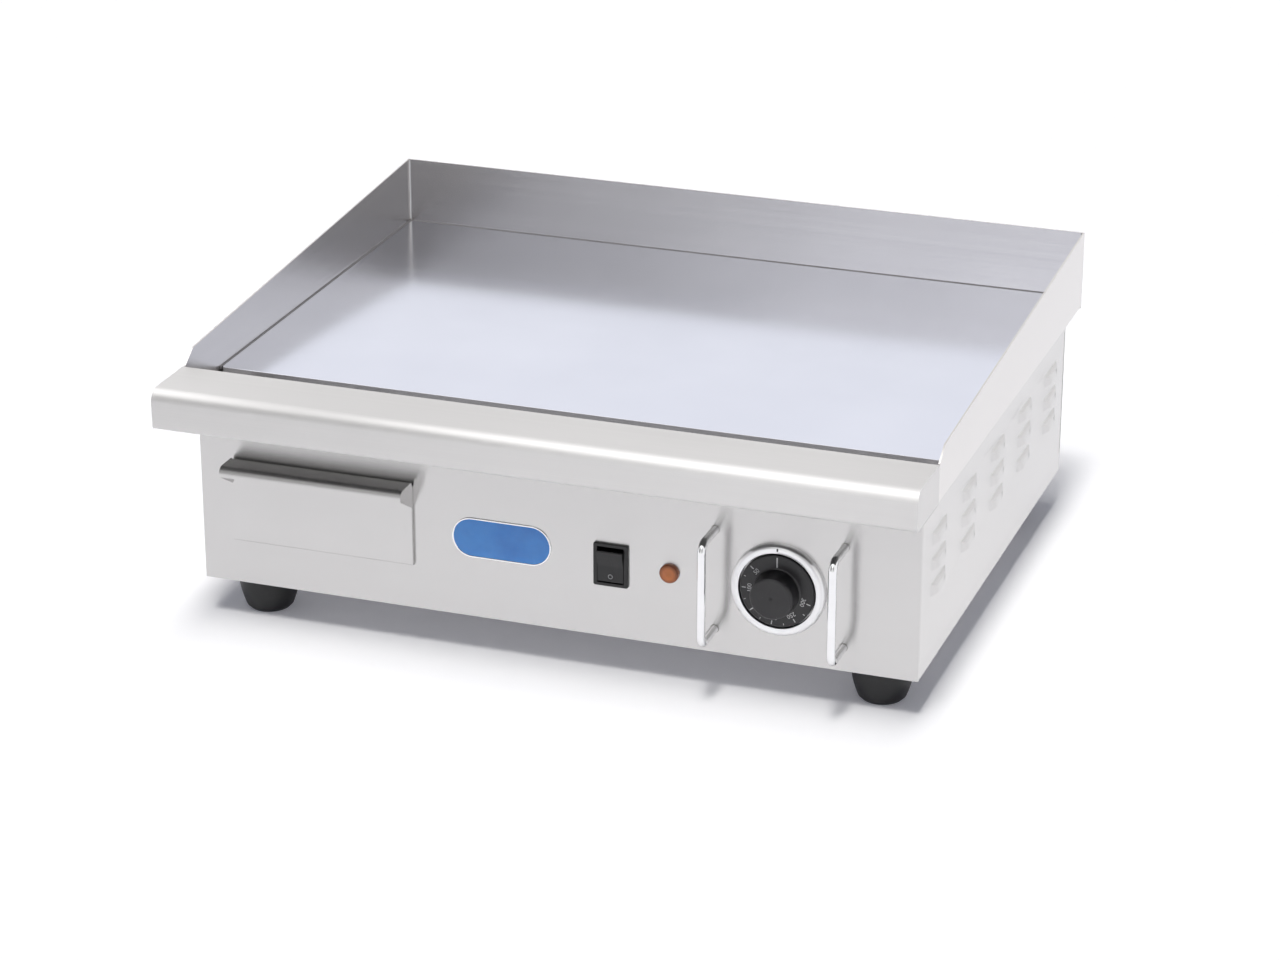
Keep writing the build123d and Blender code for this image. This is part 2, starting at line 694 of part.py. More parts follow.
shield_along += [(shield_y1, shield_z), (shield_y1, shield_lip)]
shield = along_y(folded(shield_across, shield_sheet), shield_y0 + corner_relief, shield_y1 - corner_relief)
shield += along_x(folded(shield_along, shield_sheet), corner_relief - shield_x, shield_x - corner_relief)
shield -= stud_holes(bar_studs, shield_z - 1, shield_z + 2)
capillary_x = dial_x + capillary_offset
capillary_y = (pass_y[3] + pass_y[4]) / 2
leg_hole = along_z(Circle(element_radius + leg_gap), shield_z - 1, shield_z + 2)
shield -= [Pos(x, y, 0) * leg_hole for x, y in pin_spots]
shield -= Pos(capillary_x, capillary_y, 0) * along_z(Circle(capillary_hole), shield_z - 1, shield_z + 2)
parts["heat_shield"] = shield
long_stud = along_z(Circle(stud_radius), shield_z - nut_rise - stud_tail, shelf_z)
short_stud = along_z(Circle(stud_radius), deck_z - sheet - nut_rise - stud_tail, shelf_z)
studs = [Pos(x, y, 0) * long_stud for x, y in bar_studs]
studs += [Pos(x, y, 0) * short_stud for x, y in corner_studs]
parts["plate_studs"] = Compound(children=studs)
stud_nut = hex_nut(stud_radius + seat_gap, nut_across, nut_rise)
nuts = [Pos(x, y, shield_z - nut_rise) * stud_nut for x, y in bar_studs]
nuts += [Pos(x, y, deck_z - sheet - nut_rise) * stud_nut for x, y in corner_studs]
parts["stud_nuts"] = Compound(children=nuts)

# Thermostat with its bulb and capillary
knob_place = on_panel(dial_x, control_z)
case_z = -sheet - mount_plate
case = along_z(RectangleRounded(case_width, case_height, case_corner), case_z - case_depth, case_z)
case += along_z(RectangleRounded(mount_width, mount_height, mount_corner), case_z, -sheet)
case -= along_z(Circle(spindle_radius + running_gap), case_z - spindle_seat - 1, 0)
screw_hole = along_z(Circle(mount_screw + hole_gap), case_z - mount_screw_bore, 0)
case -= [Pos(s * mount_spread, 0, 0) * screw_hole for s in (-1, 1)]
parts["thermostat_body"] = knob_place * case
blade_z = case_z - case_depth
blade = along_z(Rectangle(blade_width, blade_thick), blade_z - blade_length, blade_z)
blade_x = [i * blade_pitch - blade_shift for i in (-1, 0, 1)]
blades = [knob_place * Pos(x, -blade_drop, 0) * blade for x in blade_x]
parts["thermostat_blades"] = Compound(children=blades)
cheese = pan_screw(mount_screw, mount_screw_head, knob_back - hole_gap, mount_screw_length)
parts["thermostat_screws"] = Compound(children=[on_panel(x, z) * cheese for x, z in thermostat_screws])
bulb_z = shelf_z - seat_gap - bulb_radius
bulb_x0 = capillary_x - capillary_lead - bulb_length
bulb_lines = [(0, 0), (bulb_radius, 0), (bulb_radius, bulb_length), (0, bulb_length)]
bulb = turned(bulb_lines, [0, bulb_radius / 2, bulb_radius / 2, 0])
parts["thermostat_bulb"] = Pos(bulb_x0, capillary_y, bulb_z) * Rot(0, 90, 0) * bulb
case_back = panel_y - case_z + case_depth
capillary_z = control_z + capillary_rise
capillary_path = [(bulb_x0 + bulb_length, capillary_y, bulb_z), (capillary_x, capillary_y, bulb_z)]
capillary_path += [(capillary_x, capillary_y, capillary_z), (capillary_x, case_back, capillary_z)]
parts["capillary_tube"] = rod(capillary_path, capillary_radius, capillary_bend)

# Dial: bezel on the panel, knob and spindle turning together
bezel_bore = knob_radius + bezel_gap
bezel_lines = [(bezel_bore, 0), (bezel_radius, 0), (bezel_radius, bezel_height), (bezel_bore, bezel_height)]
bezel = turned(bezel_lines, [0, 0, bezel_round, 0.6])
parts["dial_bezel"] = knob_place * bezel
hub_top = knob_face + hub_height
knob_lines = [(0, knob_back), (knob_radius, knob_back), (knob_radius, knob_face)]
knob_lines += [(hub_radius, knob_face), (hub_radius - hub_taper, hub_top), (0, hub_top - hub_dish)]
knob = turned(knob_lines, [0, knob_back_round, knob_rim_round, hub_foot_round, hub_edge_round, 0])
spindle_top = hub_top - hub_cap
spindle_cut = Pos(0, spindle_flat + spindle_radius) * Rectangle(4 * spindle_radius, 2 * spindle_radius)
spindle_face = Circle(spindle_radius) - spindle_cut
knob_bore = offset(spindle_face, seat_gap)
knob -= along_z(knob_bore, knob_back - 1, spindle_top + 0.2)
parts["dial_knob"] = knob_place * knob
spindle = along_z(Circle(spindle_radius), case_z - spindle_seat, 0) + along_z(spindle_face, 0, spindle_top)
parts["thermostat_spindle"] = knob_place * spindle

# Guard bars either side of the dial
guard_back = panel_back + guard_tail
guard_y = panel_y - guard_reach
for name, bar_x in zip(("left", "right"), guard_x):
    hoop = [(bar_x, guard_back, guard_z[1]), (bar_x, guard_y, guard_z[1])]
    hoop += [(bar_x, guard_y, guard_z[0]), (bar_x, guard_back, guard_z[0])]
    parts["guard_bar_" + name] = rod(hoop, guard_rod, guard_bend)
rod_nut = Pos(0, 0, -sheet - guard_nut) * hex_nut(guard_rod + seat_gap, guard_nut_across, guard_nut)
parts["guard_bar_nuts"] = Compound(children=[on_panel(x, z) * rod_nut for x, z in guard_feet])

# Rocker switch
switch_place = on_panel(switch_x, control_z)
window_w = rocker_width + 2 * rocker_gap
window_h = 2 * (rocker_span + rocker_gap + rocker_sweep)
pivot_z = -pivot_depth
lip = along_z(RectangleRounded(switch_width, switch_height, switch_corner), 0, switch_lip)
lip = fillet(lip.faces().sort_by(Axis.Z)[-1].edges(), switch_edge_round)
housing = lip + along_z(Rectangle(switch_body_w, switch_body_h), -switch_depth, 0)
housing -= along_z(Rectangle(window_w, window_h), pivot_z - switch_well, switch_lip + 1)
pivot = Pos(0, 0, pivot_z) * Rot(0, 90, 0)
housing -= pivot * along_z(Circle(trunnion + running_gap), -switch_width / 2, switch_width / 2)
parts["switch_housing"] = switch_place * housing
rocker_side = [(rocker_span, rocker_tip), (0, rocker_valley), (-rocker_span, rocker_tip)]
rocker_side += [(rocker_draft - rocker_span, -rocker_depth), (0, -rocker_depth - pivot_depth)]
rocker_side += [(rocker_span - rocker_draft, -rocker_depth)]
rocker_face = outline(rocker_side, [rocker_tip_round, rocker_valley_round, rocker_tip_round, 0, 0, 0])
rocker = along_x(rocker_face, -rocker_width / 2, rocker_width / 2)
trunnion_half = switch_body_w / 2 - trunnion_end
rocker += pivot * along_z(Circle(trunnion), -trunnion_half, trunnion_half)
rocker_rest = Pos(0, 0, pivot_z) * Rot(rocker_tilt, 0, 0) * Pos(0, 0, -pivot_z)
parts["switch_rocker"] = switch_place * rocker_rest * rocker
contact = along_z(Rectangle(blade_width, blade_thick), -switch_depth - blade_length, -switch_depth)
contact_spots = [(s * contact_pitch / 2, t * contact_row_pitch / 2) for s in (-1, 1) for t in (-1, 1)]
contacts = [switch_place * Pos(x, y, 0) * contact for x, y in contact_spots]
parts["switch_terminals"] = Compound(children=contacts)

# Pilot lamp
lamp_place = on_panel(lamp_x, control_z)
lens_lines = [(0, -lamp_stem_length), (lamp_stem, -lamp_stem_length), (lamp_stem, 0), (lamp_radius, 0)]
lens_lines += [(lamp_radius, lamp_height), (0, lamp_height + lamp_crown)]
lens = turned(lens_lines, [0, 0, 0, 0, lamp_height / 2, 0])
parts["lamp_lens"] = lamp_place * lens
lamp_end = -sheet - lamp_body_length
lamp_body = along_z(Circle(lamp_body_radius), lamp_end, -sheet)
lamp_body -= along_z(Circle(lamp_stem + seat_gap), -lamp_stem_length, 0)
lamp_tab = along_z(Rectangle(lamp_tab_width, blade_thick), lamp_end - blade_length, lamp_end)
lamp_body += [Pos(0, s * lamp_tab_pitch / 2, 0) * lamp_tab for s in (-1, 1)]
parts["lamp_body"] = lamp_place * lamp_body

# Mains terminal block and earth stud on the base
block_x = grommet_x - block_offset
block_y = rear_inner - block_setback
block_half = block_length / 2
block_side = block_width / 2
block_top = floor_z + block_height
block_y0 = block_y - block_side
block_y1 = block_y + block_side
block = slab(block_x - block_half, block_x + block_half, block_y0, block_y1, floor_z, block_top)
block = fillet(block.edges().filter_by(Axis.Z), block_corner)
for i in range(3):
    well = Pos(block_x + (i - 1) * block_pitch, block_y, 0)
    bore = Rot(90, 0, 0) * along_z(Circle(block_bore), -block_width, block_width)
    block -= well * along_z(Circle(block_well), floor_z + block_well_rise, block_top + 1)
    block -= well * Pos(0, 0, floor_z + block_bore_rise) * bore
parts["terminal_block"] = block
earth_place = Pos(block_x + earth_offset, block_y, floor_z)
parts["earth_stud"] = earth_place * along_z(Circle(earth_radius), 0, earth_length)
earth_nut = hex_nut(earth_radius + seat_gap, earth_nut_across, earth_nut_rise)
parts["earth_nut"] = earth_place * Pos(0, 0, earth_nut_seat) * earth_nut

os.makedirs("parts", exist_ok=True)
for name, shape in parts.items():
    group = shape if isinstance(shape, Compound) else Compound(children=[shape])
    export_step(group, "parts/" + name + ".step")
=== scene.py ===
import json
import math
import bmesh
import bpy
from mathutils import Matrix, Vector


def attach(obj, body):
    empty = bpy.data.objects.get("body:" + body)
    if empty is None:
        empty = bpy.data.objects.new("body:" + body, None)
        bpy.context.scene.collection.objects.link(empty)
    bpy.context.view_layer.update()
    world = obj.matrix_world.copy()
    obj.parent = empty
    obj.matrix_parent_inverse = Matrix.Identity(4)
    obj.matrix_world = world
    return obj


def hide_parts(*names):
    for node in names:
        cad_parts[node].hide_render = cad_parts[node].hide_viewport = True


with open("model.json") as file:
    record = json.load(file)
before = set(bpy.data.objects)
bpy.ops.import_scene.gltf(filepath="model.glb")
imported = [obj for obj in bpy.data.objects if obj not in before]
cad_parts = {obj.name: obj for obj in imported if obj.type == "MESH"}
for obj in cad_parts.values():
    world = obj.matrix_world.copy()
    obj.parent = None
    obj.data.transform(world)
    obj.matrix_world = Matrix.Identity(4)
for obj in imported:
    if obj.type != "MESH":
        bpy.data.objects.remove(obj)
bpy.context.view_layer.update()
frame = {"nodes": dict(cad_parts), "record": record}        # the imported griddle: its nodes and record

scene = bpy.context.scene
scene.view_settings.view_transform = "Standard"
mm = 0.001
nodes = frame["nodes"]
slotOf = {row["node"]: row["material_slot"] for row in frame["record"]["subparts"]}
print("griddle frame loaded:", len(nodes), "nodes")


# Node helpers
def addNode(tree, kind, **settings):
    node = tree.nodes.new(kind)
    for name, value in settings.items():
        setattr(node, name, value)
    return node


def setInputs(node, **values):
    for name, value in values.items():
        node.inputs[name.replace("_", " ")].default_value = value
    return node


def mathNode(tree, operation, a, b):
    node = addNode(tree, "ShaderNodeMath", operation=operation)
    for socket, value in zip(node.inputs, (a, b)):
        if isinstance(value, (int, float)):
            socket.default_value = value
        else:
            tree.links.new(value, socket)
    return node.outputs[0]


def addShare(tree, base, value, share):
    return mathNode(tree, "ADD", base, mathNode(tree, "MULTIPLY", value, share))


def mixShares(tree, first, second, shares):
    return addShare(tree, mathNode(tree, "MULTIPLY", first, shares[0]), second, shares[1])


def spread(tree, value, low, high, fromLow=0.0, fromHigh=1.0):
    node = addNode(tree, "ShaderNodeMapRange")
    setInputs(node, From_Min=fromLow, From_Max=fromHigh, To_Min=low, To_Max=high)
    tree.links.new(value, node.inputs["Value"])
    return node.outputs["Result"]


def blendColours(tree, value, first, second):
    node = addNode(tree, "ShaderNodeMix", data_type="RGBA")
    pair = [socket for socket in node.inputs if socket.type == "RGBA"]
    for socket, colour in zip(pair, (first, second)):
        if isinstance(colour, bpy.types.NodeSocket):
            tree.links.new(colour, socket)
        else:
            socket.default_value = (*colour, 1)
    tree.links.new(value, node.inputs["Factor"])
    return next(socket for socket in node.outputs if socket.type == "RGBA")


def newGroup(kind, name, inputs, outputs):
    group = bpy.data.node_groups.new(name, kind + "NodeTree")
    for label, socketKind, value in inputs:
        socket = group.interface.new_socket(name=label, in_out="INPUT", socket_type="NodeSocket" + socketKind)
        if value is not None:
            socket.default_value = value
    for label, socketKind in outputs:
        group.interface.new_socket(name=label, in_out="OUTPUT", socket_type="NodeSocket" + socketKind)
    return group, addNode(group, "NodeGroupInput"), addNode(group, "NodeGroupOutput")


def noiseIn(tree, vector, scale, detail, roughness=0.5):
    noise = addNode(tree, "ShaderNodeTexNoise")
    setInputs(noise, Scale=scale, Detail=detail, Roughness=roughness)
    tree.links.new(vector, noise.inputs["Vector"])
    return noise.outputs["Fac"]


# Brushed grain: hairlines drawn out along one axis, wider bands, and slow clouds of polish
grainStretch = (8, 1500, 1500)
grainNoise = {"Hairline": (1.0, 3.0, 0.6), "Band": (0.11, 2.0, 0.5), "Cloud": (9.0, 3.0, 0.5)}


def makeGrainGroup():
    inputs = [("Vector", "Vector", None), ("Stretch", "Vector", grainStretch)]
    outputs = [(label, "Float") for label in grainNoise]
    group, given, result = newGroup("Shader", "brushedGrain", inputs, outputs)
    drawn = addNode(group, "ShaderNodeVectorMath", operation="MULTIPLY")
    group.links.new(given.outputs["Vector"], drawn.inputs[0])
    group.links.new(given.outputs["Stretch"], drawn.inputs[1])
    for label, noise in grainNoise.items():
        vector = given.outputs["Vector"] if label == "Cloud" else drawn.outputs[0]
        group.links.new(noiseIn(group, vector, *noise), result.inputs[label])
    return group


# Handling: a soft film of smears and a few fine specks of dust
handlingNoise = {
    "Smear": {
        "size": 14.0,
        "noise": {"Detail": 2.0, "Roughness": 0.45, "Distortion": 0.6},
        "shown": (0.45, 0.75),
    },
    "Speck": {
        "size": 900.0,
        "noise": {"Detail": 2.0, "Roughness": 0.7},
        "shown": (0.66, 0.78),
    },
}


def makeHandlingGroup():
    inputs = [("Vector", "Vector", None)]
    inputs += [(label + " Size", "Float", row["size"]) for label, row in handlingNoise.items()]
    outputs = [(label, "Float") for label in handlingNoise]
    group, given, result = newGroup("Shader", "handling", inputs, outputs)
    for label, row in handlingNoise.items():
        noise = setInputs(addNode(group, "ShaderNodeTexNoise"), **row["noise"])
        group.links.new(given.outputs["Vector"], noise.inputs["Vector"])
        group.links.new(given.outputs[label + " Size"], noise.inputs["Scale"])
        shown = spread(group, noise.outputs["Fac"], 0.0, 1.0, *row["shown"])
        group.links.new(shown, result.inputs[label])
    return group


grainGroup = makeGrainGroup()
handlingGroup = makeHandlingGroup()
bumpDepth = 0.0002  # metres, for every finish but the lamp's


def newMaterial(name):
    material = bpy.data.materials.new(name)
    material.use_nodes = True
    tree = material.node_tree
    place = addNode(tree, "ShaderNodeTexCoord").outputs["Object"]
    return material, tree, tree.nodes["Principled BSDF"], place


def placeGroup(tree, group, vector, **values):
    node = addNode(tree, "ShaderNodeGroup", node_tree=group)
    tree.links.new(vector, node.inputs["Vector"])
    setInputs(node, **values)
    return node.outputs


def bumpFrom(tree, shader, height, strength, distance=bumpDepth):
    bump = addNode(tree, "ShaderNodeBump")
    setInputs(bump, Strength=strength, Distance=distance)
    tree.links.new(height, bump.inputs["Height"])
    tree.links.new(bump.outputs["Normal"], shader.inputs["Normal"])


def belowHeight(tree, place, height, fade):
    lift = addNode(tree, "ShaderNodeSeparateXYZ")
    tree.links.new(place, lift.inputs[0])
    return spread(tree, lift.outputs["Z"], 1, 0, height * mm, (height + fade) * mm)


# Satin stainless sheet, brushed along one axis: the grain blurs reflections across itself
steelLook = {
    "dark": (0.605, 0.596, 0.592),
    "light": (0.660, 0.651, 0.647),
    "rough": (0.22, 0.27),
    "grainShares": (0.5, 0.35),
    "shown": (0.35, 1.0),
    "smear": 11.0,
    "film": 0.012,
    "grain": 0.008,
    "drawnOut": 0.95,
    "quarterTurn": 0.25,
    # Painted shade: a dark, rougher tone below a given height, standing in for the shade under a fold
    "paintedShade": (0.15, 0.148, 0.147),
    "paintedShadeRough": 0.35,
    "paintedShadeFade": 0.1,
}
# Splash guard steel: less rough, and its tone lighter than the body's same steel, a lit copy of it: painted
# light
splashLook = {
    **steelLook,
    "dark": (0.655, 0.636, 0.626),
    "light": (0.710, 0.691, 0.681),
    "rough": (0.16, 0.21),
}
# Rail steel: rougher, and its tone lighter than the body's same steel, a lit copy of it: painted light
railLook = {
    **steelLook,
    "dark": (0.645, 0.636, 0.631),
    "light": (0.700, 0.691, 0.686),
    "rough": (0.30, 0.36),
}
railUnderside = 162.1  # below this the rail's fold is painted darker: painted shade on its underside
across = {"stretch": (3, 1500, 1500), "way": (1, 0, 0)}
along = {"stretch": (1500, 3, 1500), "way": (0, 1, 0)}


def brushedSteel(name, brushing, look=steelLook, paintedShadeBelow=None):
    material, tree, shader, place = newMaterial(name)
    grain = placeGroup(tree, grainGroup, place, Stretch=brushing["stretch"])
    wear = placeGroup(tree, handlingGroup, place, Smear_Size=look["smear"])
    lines = mathNode(tree, "ADD", grain["Hairline"], grain["Band"])
    mixed = mixShares(tree, lines, grain["Cloud"], look["grainShares"])
    tone = blendColours(tree, spread(tree, mixed, 0, 1, *look["shown"]), look["dark"], look["light"])
    rough = spread(tree, mixed, *look["rough"], *look["shown"])
    rough = addShare(tree, rough, wear["Smear"], look["film"])
    # Painted shade: below the given height the tone darkens, standing in for the shade on the underside
    if paintedShadeBelow:
        paintedShade = belowHeight(tree, place, paintedShadeBelow, look["paintedShadeFade"])
        tone = blendColours(tree, paintedShade, tone, look["paintedShade"])
        rough = addShare(tree, rough, paintedShade, look["paintedShadeRough"])
    tree.links.new(tone, shader.inputs["Base Color"])
    tree.links.new(rough, shader.inputs["Roughness"])
    setInputs(shader, Metallic=1.0, Anisotropic=look["drawnOut"], Anisotropic_Rotation=look["quarterTurn"])
    brush = addNode(tree, "ShaderNodeCombineXYZ")
    setInputs(brush, **dict(zip("XYZ", brushing["way"])))
    tree.links.new(brush.outputs[0], shader.inputs["Tangent"])
    bumpFrom(tree, shader, grain["Hairline"], look["grain"])
    return material


# Hard chromed cooking plate, ground flat and polished across; its edges are rougher and painted darker, painted
# shade standing in for the dark gap between plate and rail
plateLook = {
    "dark": (0.705, 0.73, 0.83),
    "light": (0.745, 0.77, 0.87),
    "shown": (0.3, 0.7),
    "rough": (0.15, 0.21),
    "stretch": (5, 900, 900),
    "smear": 7.0,
    "hazeShares": (0.5, 0.5),
    "grain": 0.008,
    "edge": (0.62, 0.62, 0.65),
    "edgeShadeBelow": 171.08,
    "edgeShadeFade": 0.08,
    "edgeShadeRough": 0.3,
}


def polishedPlate():
    material, tree, shader, place = newMaterial("plateChrome")
    grain = placeGroup(tree, grainGroup, place, Stretch=plateLook["stretch"])
    wear = placeGroup(tree, handlingGroup, place, Smear_Size=plateLook["smear"])
    polish = spread(tree, grain["Cloud"], 0, 1, *plateLook["shown"])
    tone = blendColours(tree, polish, plateLook["dark"], plateLook["light"])
    # Painted shade: below the top the edges darken, which also damps their painted-out highlight
    edge = belowHeight(tree, place, plateLook["edgeShadeBelow"], plateLook["edgeShadeFade"])
    tree.links.new(blendColours(tree, edge, tone, plateLook["edge"]), shader.inputs["Base Color"])
    haze = mixShares(tree, wear["Smear"], grain["Band"], plateLook["hazeShares"])
    rough = addShare(tree, spread(tree, haze, *plateLook["rough"]), edge, plateLook["edgeShadeRough"])
    tree.links.new(rough, shader.inputs["Roughness"])
    setInputs(shader, Metallic=1.0)
    bumpFrom(tree, shader, grain["Hairline"], plateLook["grain"])
    return material


# Any other finish: two tones, two roughnesses, and a fine skin on the surface
plainLook = {
    "mottle": (4.0, 0.6),
    "shown": (0.3, 0.7),
    "dust": (0.45, 0.44, 0.42),
    "dustShare": 0.12,
    "filmShares": (0.6, 0.4),
    "skinDetail": 2.0,
}


def plainFinish(name, dark, light, rough, metallic=0.0, size=60.0, skin=(900.0, 0.05), coat=0.0):
    material, tree, shader, place = newMaterial(name)
    mottle = noiseIn(tree, place, size, *plainLook["mottle"])
    wear = placeGroup(tree, handlingGroup, place, Smear_Size=size / 2)
    tone = blendColours(tree, spread(tree, mottle, 0, 1, *plainLook["shown"]), dark, light)
    dust = mathNode(tree, "MULTIPLY", wear["Speck"], plainLook["dustShare"])
    tree.links.new(blendColours(tree, dust, tone, plainLook["dust"]), shader.inputs["Base Color"])
    film = mixShares(tree, mottle, wear["Smear"], plainLook["filmShares"])
    tree.links.new(spread(tree, film, *rough), shader.inputs["Roughness"])
    setInputs(shader, Metallic=metallic, Coat_Weight=coat)
    skinSize, skinStrength = skin
    bumpFrom(tree, shader, noiseIn(tree, place, skinSize, plainLook["skinDetail"]), skinStrength)
    return material


# One row per slot: name, dark, light, roughness, metallic, size of the mottle, skin
finishRows = {
    "bright_chrome": (
        "brightChrome", (0.84, 0.84, 0.85), (0.90, 0.90, 0.91),
        (0.05, 0.12), 1.0, 40.0, (500.0, 0.01),
    ),
    "foot_black": (
        "footRubber", (0.009, 0.009, 0.010), (0.015, 0.015, 0.016),
        (0.42, 0.62), 0.0, 80.0, (1400.0, 0.12),
    ),
    "grommet_rubber": (
        "grommetRubber", (0.014, 0.014, 0.015), (0.024, 0.024, 0.025),
        (0.5, 0.7), 0.0, 90.0, (1600.0, 0.1),
    ),
    "knob_black": (
        "knobPlastic", (0.015, 0.014, 0.016), (0.022, 0.021, 0.023),
        (0.26, 0.40), 0.0, 70.0, (2200.0, 0.05),
    ),
    "switch_black": (
        "switchPlastic", (0.007, 0.007, 0.008), (0.011, 0.011, 0.012),
        (0.20, 0.30), 0.0, 90.0, (2600.0, 0.04),
    ),
    "lamp_white": (
        "lampNylon", (0.60, 0.59, 0.55), (0.70, 0.69, 0.65),
        (0.4, 0.55), 0.0, 120.0,
    ),
    "zinc_steel": (
        "zincSteel", (0.55, 0.54, 0.50), (0.68, 0.67, 0.62),
        (0.26, 0.42), 1.0, 160.0,
    ),
    "element_sheath": (
        "elementSheath", (0.055, 0.048, 0.042), (0.10, 0.085, 0.07),
        (0.5, 0.72), 0.6, 55.0,
    ),
    "shield_alu": (
        "shieldAluminium", (0.70, 0.70, 0.71), (0.80, 0.80, 0.81),
        (0.3, 0.45), 1.0, 18.0,
    ),
    "copper_tube": (
        "copperTube", (0.66, 0.33, 0.20), (0.78, 0.42, 0.27),
        (0.25, 0.42), 1.0, 70.0,
    ),
    "tin_blade": (
        "tinnedBlade", (0.68, 0.67, 0.64), (0.78, 0.77, 0.74),
        (0.25, 0.4), 1.0, 150.0,
    ),
    "block_ceramic": (
        "ceramicBlock", (0.70, 0.68, 0.62), (0.80, 0.78, 0.73),
        (0.35, 0.5), 0.0, 90.0,
    ),
}
finishes = {"plate_chrome": polishedPlate()}
finishes.update({slot: plainFinish(*row) for slot, row in finishRows.items()})
steelAcross = brushedSteel("steelBrushedAcross", across)
steelAlong = brushedSteel("steelBrushedAlong", along)
splashAcross = brushedSteel("splashBrushedAcross", across, splashLook)
splashAlong = brushedSteel("splashBrushedAlong", along, splashLook)
railSteel = brushedSteel("railSteel", across, railLook, railUnderside)
satinRing = plainFinish(
    "satinRing", (0.80, 0.80, 0.81), (0.86, 0.86, 0.87),
    (0.26, 0.36), 1.0, 40.0, (500.0, 0.01),
)
pieceFinishes = {
    "side_panel_left": steelAlong,
    "side_panel_right": steelAlong,
    "drawer_runner_left": steelAlong,
    "drawer_runner_right": steelAlong,
    "splash_side_left": splashAlong,
    "splash_side_right": splashAlong,
    "splash_back": splashAcross,
    "front_rail": railSteel,
    "dial_bezel": satinRing,
}
print("finishes made:", len(bpy.data.materials))


# Pilot lamp: moulded rings in an unlit amber lens, painted lighter in the middle than at its rim: a painted glow
lampLook = {
    "centre": (87.5, 85.5),
    "dark": (0.20, 0.042, 0.010),
    "light": (0.74, 0.22, 0.05),
    "rings": 900.0,
    "bright": 3.6,
    "rim": 6.6,
    "glowShares": (0.7, 0.3),
    "haze": (300.0, 2.0),
    "rough": (0.14, 0.26),
    "coat": 0.15,
    "bump": (0.25, 0.0003),
}


def amberLens():
    material, tree, shader, place = newMaterial("lensAmber")
    x, z = lampLook["centre"]
    centred = addNode(tree, "ShaderNodeVectorMath", operation="SUBTRACT")
    tree.links.new(place, centred.inputs[0])
    centred.inputs[1].default_value = (x * mm, 0, z * mm)
    flat = addNode(tree, "ShaderNodeVectorMath", operation="MULTIPLY")
    tree.links.new(centred.outputs[0], flat.inputs[0])
    flat.inputs[1].default_value = (1, 0, 1)
    distance = addNode(tree, "ShaderNodeVectorMath", operation="LENGTH")
    tree.links.new(flat.outputs[0], distance.inputs[0])
    away = distance.outputs["Value"]
    wave = mathNode(tree, "MULTIPLY", away, 2 * math.pi * lampLook["rings"])
    ringed = spread(tree, mathNode(tree, "SINE", wave, 0), 0, 1, -1, 1)
    # Painted glow: the lens colour brightens toward the middle, standing in for light through the lens
    glowing = spread(tree, away, 1.0, 0.0, lampLook["bright"] * mm, lampLook["rim"] * mm)
    mixed = mixShares(tree, glowing, ringed, lampLook["glowShares"])
    tone = blendColours(tree, mixed, lampLook["dark"], lampLook["light"])
    tree.links.new(tone, shader.inputs["Base Color"])
    haze = noiseIn(tree, place, *lampLook["haze"])
    tree.links.new(spread(tree, haze, *lampLook["rough"]), shader.inputs["Roughness"])
    setInputs(shader, Coat_Weight=lampLook["coat"])
    bumpFrom(tree, shader, ringed, *lampLook["bump"])
    return material


finishes["lens_amber"] = amberLens()

# CAD nodes keep their meshes; a node tree joins their facets and smooths the bends
smoothSpec = {"crease": 28.0, "within": 2e-6}
shapeOut = [("Geometry", "Geometry")]


def makeSmoothingTree():
    inputs = [("Geometry", "Geometry", None), ("Crease Angle", "Float", math.radians(smoothSpec["crease"]))]
    tree, given, result = newGroup("Geometry", "smoothBends", inputs, shapeOut)
    joined = addNode(tree, "GeometryNodeMergeByDistance")
    setInputs(joined, Distance=smoothSpec["within"])
    faces = addNode(tree, "GeometryNodeSetShadeSmooth", domain="FACE")
    creases = addNode(tree, "GeometryNodeSetShadeSmooth", domain="EDGE")
    setInputs(creases, Shade_Smooth=False)
    bend = addNode(tree, "GeometryNodeInputMeshEdgeAngle")
    sharp = addNode(tree, "FunctionNodeCompare", data_type="FLOAT", operation="GREATER_THAN")
    tree.links.new(given.outputs["Geometry"], joined.inputs["Geometry"])
    tree.links.new(joined.outputs["Geometry"], faces.inputs["Geometry"])
    tree.links.new(faces.outputs["Geometry"], creases.inputs["Geometry"])
    tree.links.new(bend.outputs["Unsigned Angle"], sharp.inputs["A"])
    tree.links.new(given.outputs["Crease Angle"], sharp.inputs["B"])
    tree.links.new(sharp.outputs["Result"], creases.inputs["Selection"])
    tree.links.new(creases.outputs["Geometry"], result.inputs["Geometry"])
    return tree


def addTree(piece, tree, values):
    modifier = piece.modifiers.new(tree.name, "NODES")
    modifier.node_group = tree
    for item in tree.interface.items_tree:
        if item.in_out == "INPUT" and item.name in values:
            modifier[item.identifier] = values[item.name]


smoothBends = makeSmoothingTree()
for name, node in nodes.items():
    node.data.materials.clear()
    node.data.materials.append(pieceFinishes.get(name) or finishes.get(slotOf[name], steelAcross))
    addTree(node, smoothBends, {})
print("CAD nodes dressed")


# Mesh helpers: every piece ends at the origin with its place in its mesh
def newPiece(name, mesh, material, body, replaced=()):
    piece = bpy.data.objects.new(name, mesh)
    scene.collection.objects.link(piece)
    mesh.materials.clear()
    mesh.materials.append(material)
    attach(piece, body)
    if replaced:
        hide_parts(*replaced)
    return piece


def meshFrom(build, name):
    shape = bmesh.new()
    build(shape)
    bmesh.ops.remove_doubles(shape, verts=shape.verts, dist=1e-7)
    bmesh.ops.recalc_face_normals(shape, faces=shape.faces)
    mesh = bpy.data.meshes.new(name)
    shape.to_mesh(mesh)
    shape.free()
    return mesh


